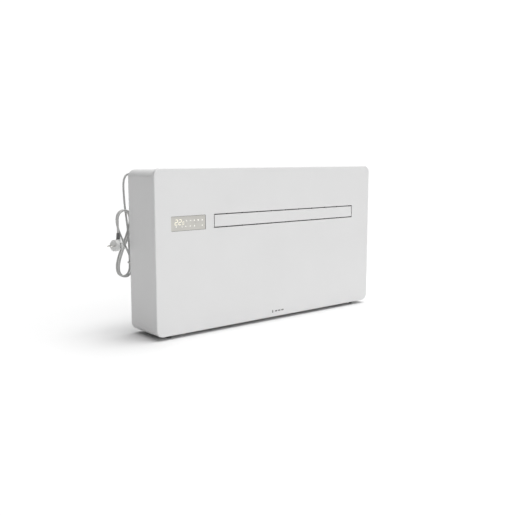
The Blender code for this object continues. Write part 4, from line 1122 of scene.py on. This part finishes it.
# ---- mains lead ----
CORD_DOWN = [
    (-0.4845, 0.1108, 0.5380), (-0.4845, 0.1150, 0.5380), (-0.4845, 0.1268, 0.5358),
    (-0.4845, 0.1373, 0.5296), (-0.4845, 0.1451, 0.5203), (-0.4845, 0.1493, 0.5080),
    (-0.4843, 0.1507, 0.4900), (-0.4833, 0.1512, 0.4650), (-0.4812, 0.1515, 0.4350),
    (-0.4780, 0.1515, 0.4050), (-0.4745, 0.1515, 0.3750), (-0.4715, 0.1515, 0.3450),
    (-0.4695, 0.1510, 0.3150), (-0.4684, 0.1508, 0.2850), (-0.4682, 0.1505, 0.2550),
]
CORD_TO_PLUG = [
    (-0.4950, 0.1254, 0.4168), (-0.5080, 0.1250, 0.4141), (-0.5177, 0.1247, 0.4056),
    (-0.5229, 0.1245, 0.3925), (-0.5241, 0.1245, 0.3770), (-0.5242, 0.1245, 0.3590),
    (-0.5240, 0.1245, 0.3413),
]
CORD_DIAMETER = 0.007
GRIP = 0.0037  # radius of the hole in a strain relief, where the cord comes out
PLUG_FACE = 0.0216  # from the cord's axis to the pin face
PLUG_YAW = 14  # degrees the pins are turned from -X towards the front


def hank_points():
    """A figure of eight that steps towards the casing as it winds."""
    (x, z), (wide, tall) = (-0.4945, 0.302), (0.026, 0.114)
    first, past, step = 135, 706, 15
    points = []
    for angle in range(first, past, step):
        turn = math.radians(angle)
        y = 0.150 - 0.0152 * (angle - first) / 360
        points.append((x - wide * math.sin(2 * turn), y, z + tall * math.cos(turn)))
    return points


def make_gland():
    """Strain relief: a collar on the rear panel and a ribbed sleeve that tapers on to the cord."""
    low, _, (x, z), _ = seen("cord_gland", "Y")
    base, tip = REAR_HIGH.y + GAP, CORD_DOWN[0][1] + 0.0008
    corners = [(CAP, low.y), (0.0054, low.y), (0.0054, base), (0.0088, base), (0.0088, base + 0.0062),
               (0.0066, base + 0.0072), (0.0066, base + 0.0120)]
    ribs = 6
    pitch = (tip - 0.0025 - base - 0.0130) / ribs
    for i in range(ribs):
        foot, radius = base + 0.0130 + i * pitch, 0.0066 - 0.0013 * i / ribs
        corners += [(radius - 0.0011, foot), (radius - 0.0011, foot + pitch * 0.38), (radius, foot + pitch * 0.46),
                    (radius - 0.0001, foot + pitch * 0.94)]
    corners += [(0.0052, tip - 0.0022), (0.0048, tip), (GRIP, tip), (GRIP, tip - 0.0014), (CAP, tip - 0.0014)]
    gland = turned((x, 0, z), corners, 0.00035, 2, "Y", GREY, 48)
    return keep("strain_relief", gland, "cord_gland")


def make_plug_sleeve(place, low, top):
    """Ribbed strain relief that tapers up on to the cord, and grips its end."""
    corners = [(CAP, low), (0.0074, low)]
    ribs = 4
    pitch = (top - 0.0020 - low) / ribs
    for i in range(ribs):
        base, radius = low + i * pitch, 0.0074 - 0.0014 * i / ribs
        corners += [(radius, base + pitch * 0.55), (radius - 0.0011, base + pitch * 0.64),
                    (radius - 0.0012, base + pitch * 0.94)]
    corners += [(0.0053, top - 0.0018), (0.0050, top), (GRIP, top), (GRIP, top - 0.0014), (CAP, top - 0.0014)]
    return turned((*place, 0), corners, 0.0004, 2, "Z", SLEEVE, 48)


def make_plug():
    """Angled two-pin plug: round nose, waisted grip, side grooves darkened with painted shade, and a dark ribbed
    sleeve up to the cord.
    """
    _, _, (_, z), (_, pin_radius) = seen("plug_pin_front", "Y")
    cord_x, y, cord_top = CORD_TO_PLUG[-1]
    face, length, foot = cord_x - PLUG_FACE, 0.035, z + 0.010
    body = turned((face, y, z), [
        (CAP, 0.0), (0.0186, 0.0), (0.0195, 0.0012), (0.0195, 0.0120), (0.0188, 0.0140), (0.0168, 0.0160),
        (0.0155, 0.0225), (0.0140, length - 0.0050), (0.0105, length - 0.0008), (CAP, length),
    ], 0.0022, 4, "X", PLUG, 72)
    fuse(body, turned(
        (cord_x, y, 0), [(CAP, foot), (0.0088, foot), (0.0080, foot + 0.0105), (CAP, foot + 0.0105)],
        0.0012, 3, "Z", PLUG, 48))

    def bars(start, end, out_y, half_y, out_z, half_z, material, edge):
        """A pair of blocks on opposite sides of the plug, each from its centre's offset and half size."""
        return [
            block((face + start, y + side * out_y - half_y, z + side * out_z - half_z),
                  (face + end, y + side * out_y + half_y, z + side * out_z + half_z), material, edge)
            for side in (-1, 1)
        ]

    earth = bars(-0.005, 0.0112, 0.0, 0.0030, 0.0190, 0.0024, PLUG, 0.0006)
    grip = bars(0.0150, 0.0200, 0.0165, 0.0040, 0.0, 0.0095, PLUG, 0.0009)
    carve(body, earth[0], grip[0], earth[1], grip[1])
    clip = group(*bars(0.0004, 0.0105, 0.0, 0.0022, 0.0163, 0.0004, NICKEL, 0.0003))
    # Black strips in the grip grooves are painted shade: they darken the grooves where shadow would fall.
    groove_shade = group(*bars(0.0152, 0.0198, 0.0133, 0.0010, 0.0, 0.0093, BLACK, 0.0004))
    sleeve = make_plug_sleeve((cord_x, y), foot + 0.0102, cord_top + 0.0008)
    start, end = face - GAP - 0.019, face - GAP
    corners = [
        (0.0006, start), (pin_radius * 0.62, start), (pin_radius, start + 0.0016), (pin_radius, end), (0.0006, end)]
    pins = [turned((0, y + side * 0.0095, z), corners, 0.0008, 4, "X", NICKEL, 32) for side in (-1, 1)]
    pivot = Matrix.Translation((cord_x, y, 0))
    for piece in (body, sleeve, groove_shade, clip, *pins):
        piece.data.transform(pivot @ Matrix.Rotation(math.radians(PLUG_YAW), 4, "Z") @ pivot.inverted())
    return [
        keep("plug", body, "plug_body"), keep("plug_sleeve", sleeve),
        keep("plug_grip_inlays", groove_shade), keep("plug_earth_clips", clip),
        keep("plug_pin_front_round", pins[0], "plug_pin_front"),
        keep("plug_pin_rear_round", pins[1], "plug_pin_rear"),
    ]


def make_tie():
    """Strap round the hank's strands with a small latch block."""
    low, high, centre, half = seen("cord_tie", "Z")
    tie = ring(rectangle(centre, half, 0.0056, 8), low.z, high.z, 0.0011, 0.0004, "Z", SHEATH, 2)
    fuse(tie, block((high.x - 0.0016, centre[1] - 0.0045, low.z - 0.0008),
                    (high.x + 0.0010, centre[1] + 0.0045, high.z + 0.0008), SHEATH, 0.0007, 3))
    return keep("hank_tie", tie, "cord_tie")


def make_lead():
    """The cord along its route, with what holds it at both ends and in the middle."""
    curve = bpy.data.curves.new("mains_lead", "CURVE")
    curve.dimensions = "3D"
    curve.bevel_depth = CORD_DIAMETER / 2
    curve.bevel_resolution = 5
    curve.resolution_u = 6
    curve.use_fill_caps = True
    spline = curve.splines.new("BEZIER")
    route = CORD_DOWN + hank_points() + CORD_TO_PLUG
    spline.bezier_points.add(len(route) - 1)
    for point, place in zip(spline.bezier_points, route):
        point.co = place
        point.handle_left_type = point.handle_right_type = "AUTO"
    curve.materials.append(SHEATH)
    lead = keep("mains_lead", link("mains_lead", curve), "mains_cord")
    make_gland()
    make_tie()
    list(make_plug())


def dress_nodes():
    """Every CAD node that stays takes its slot's material."""
    slots = {part["node"]: part["material_slot"] for part in frame["record"]["subparts"]}
    for name, node in frame["nodes"].items():
        node.data.materials.clear()
        node.data.materials.append(SLOT_MATERIALS[slots[name]])


for make in (
    make_stage, make_light, make_camera, dress_nodes, make_lead, make_front_panel, make_case, make_rear_panel,
    make_wall_bracket, make_feet, make_panel_screws, make_outlet_frame, make_flap, make_display, make_scroll,
    make_drum, make_ducts, make_exhaust_fan, make_tray, make_cassette, make_control_board, make_terminal_block,
    make_supply_motor, make_flap_motor,
):
    make()
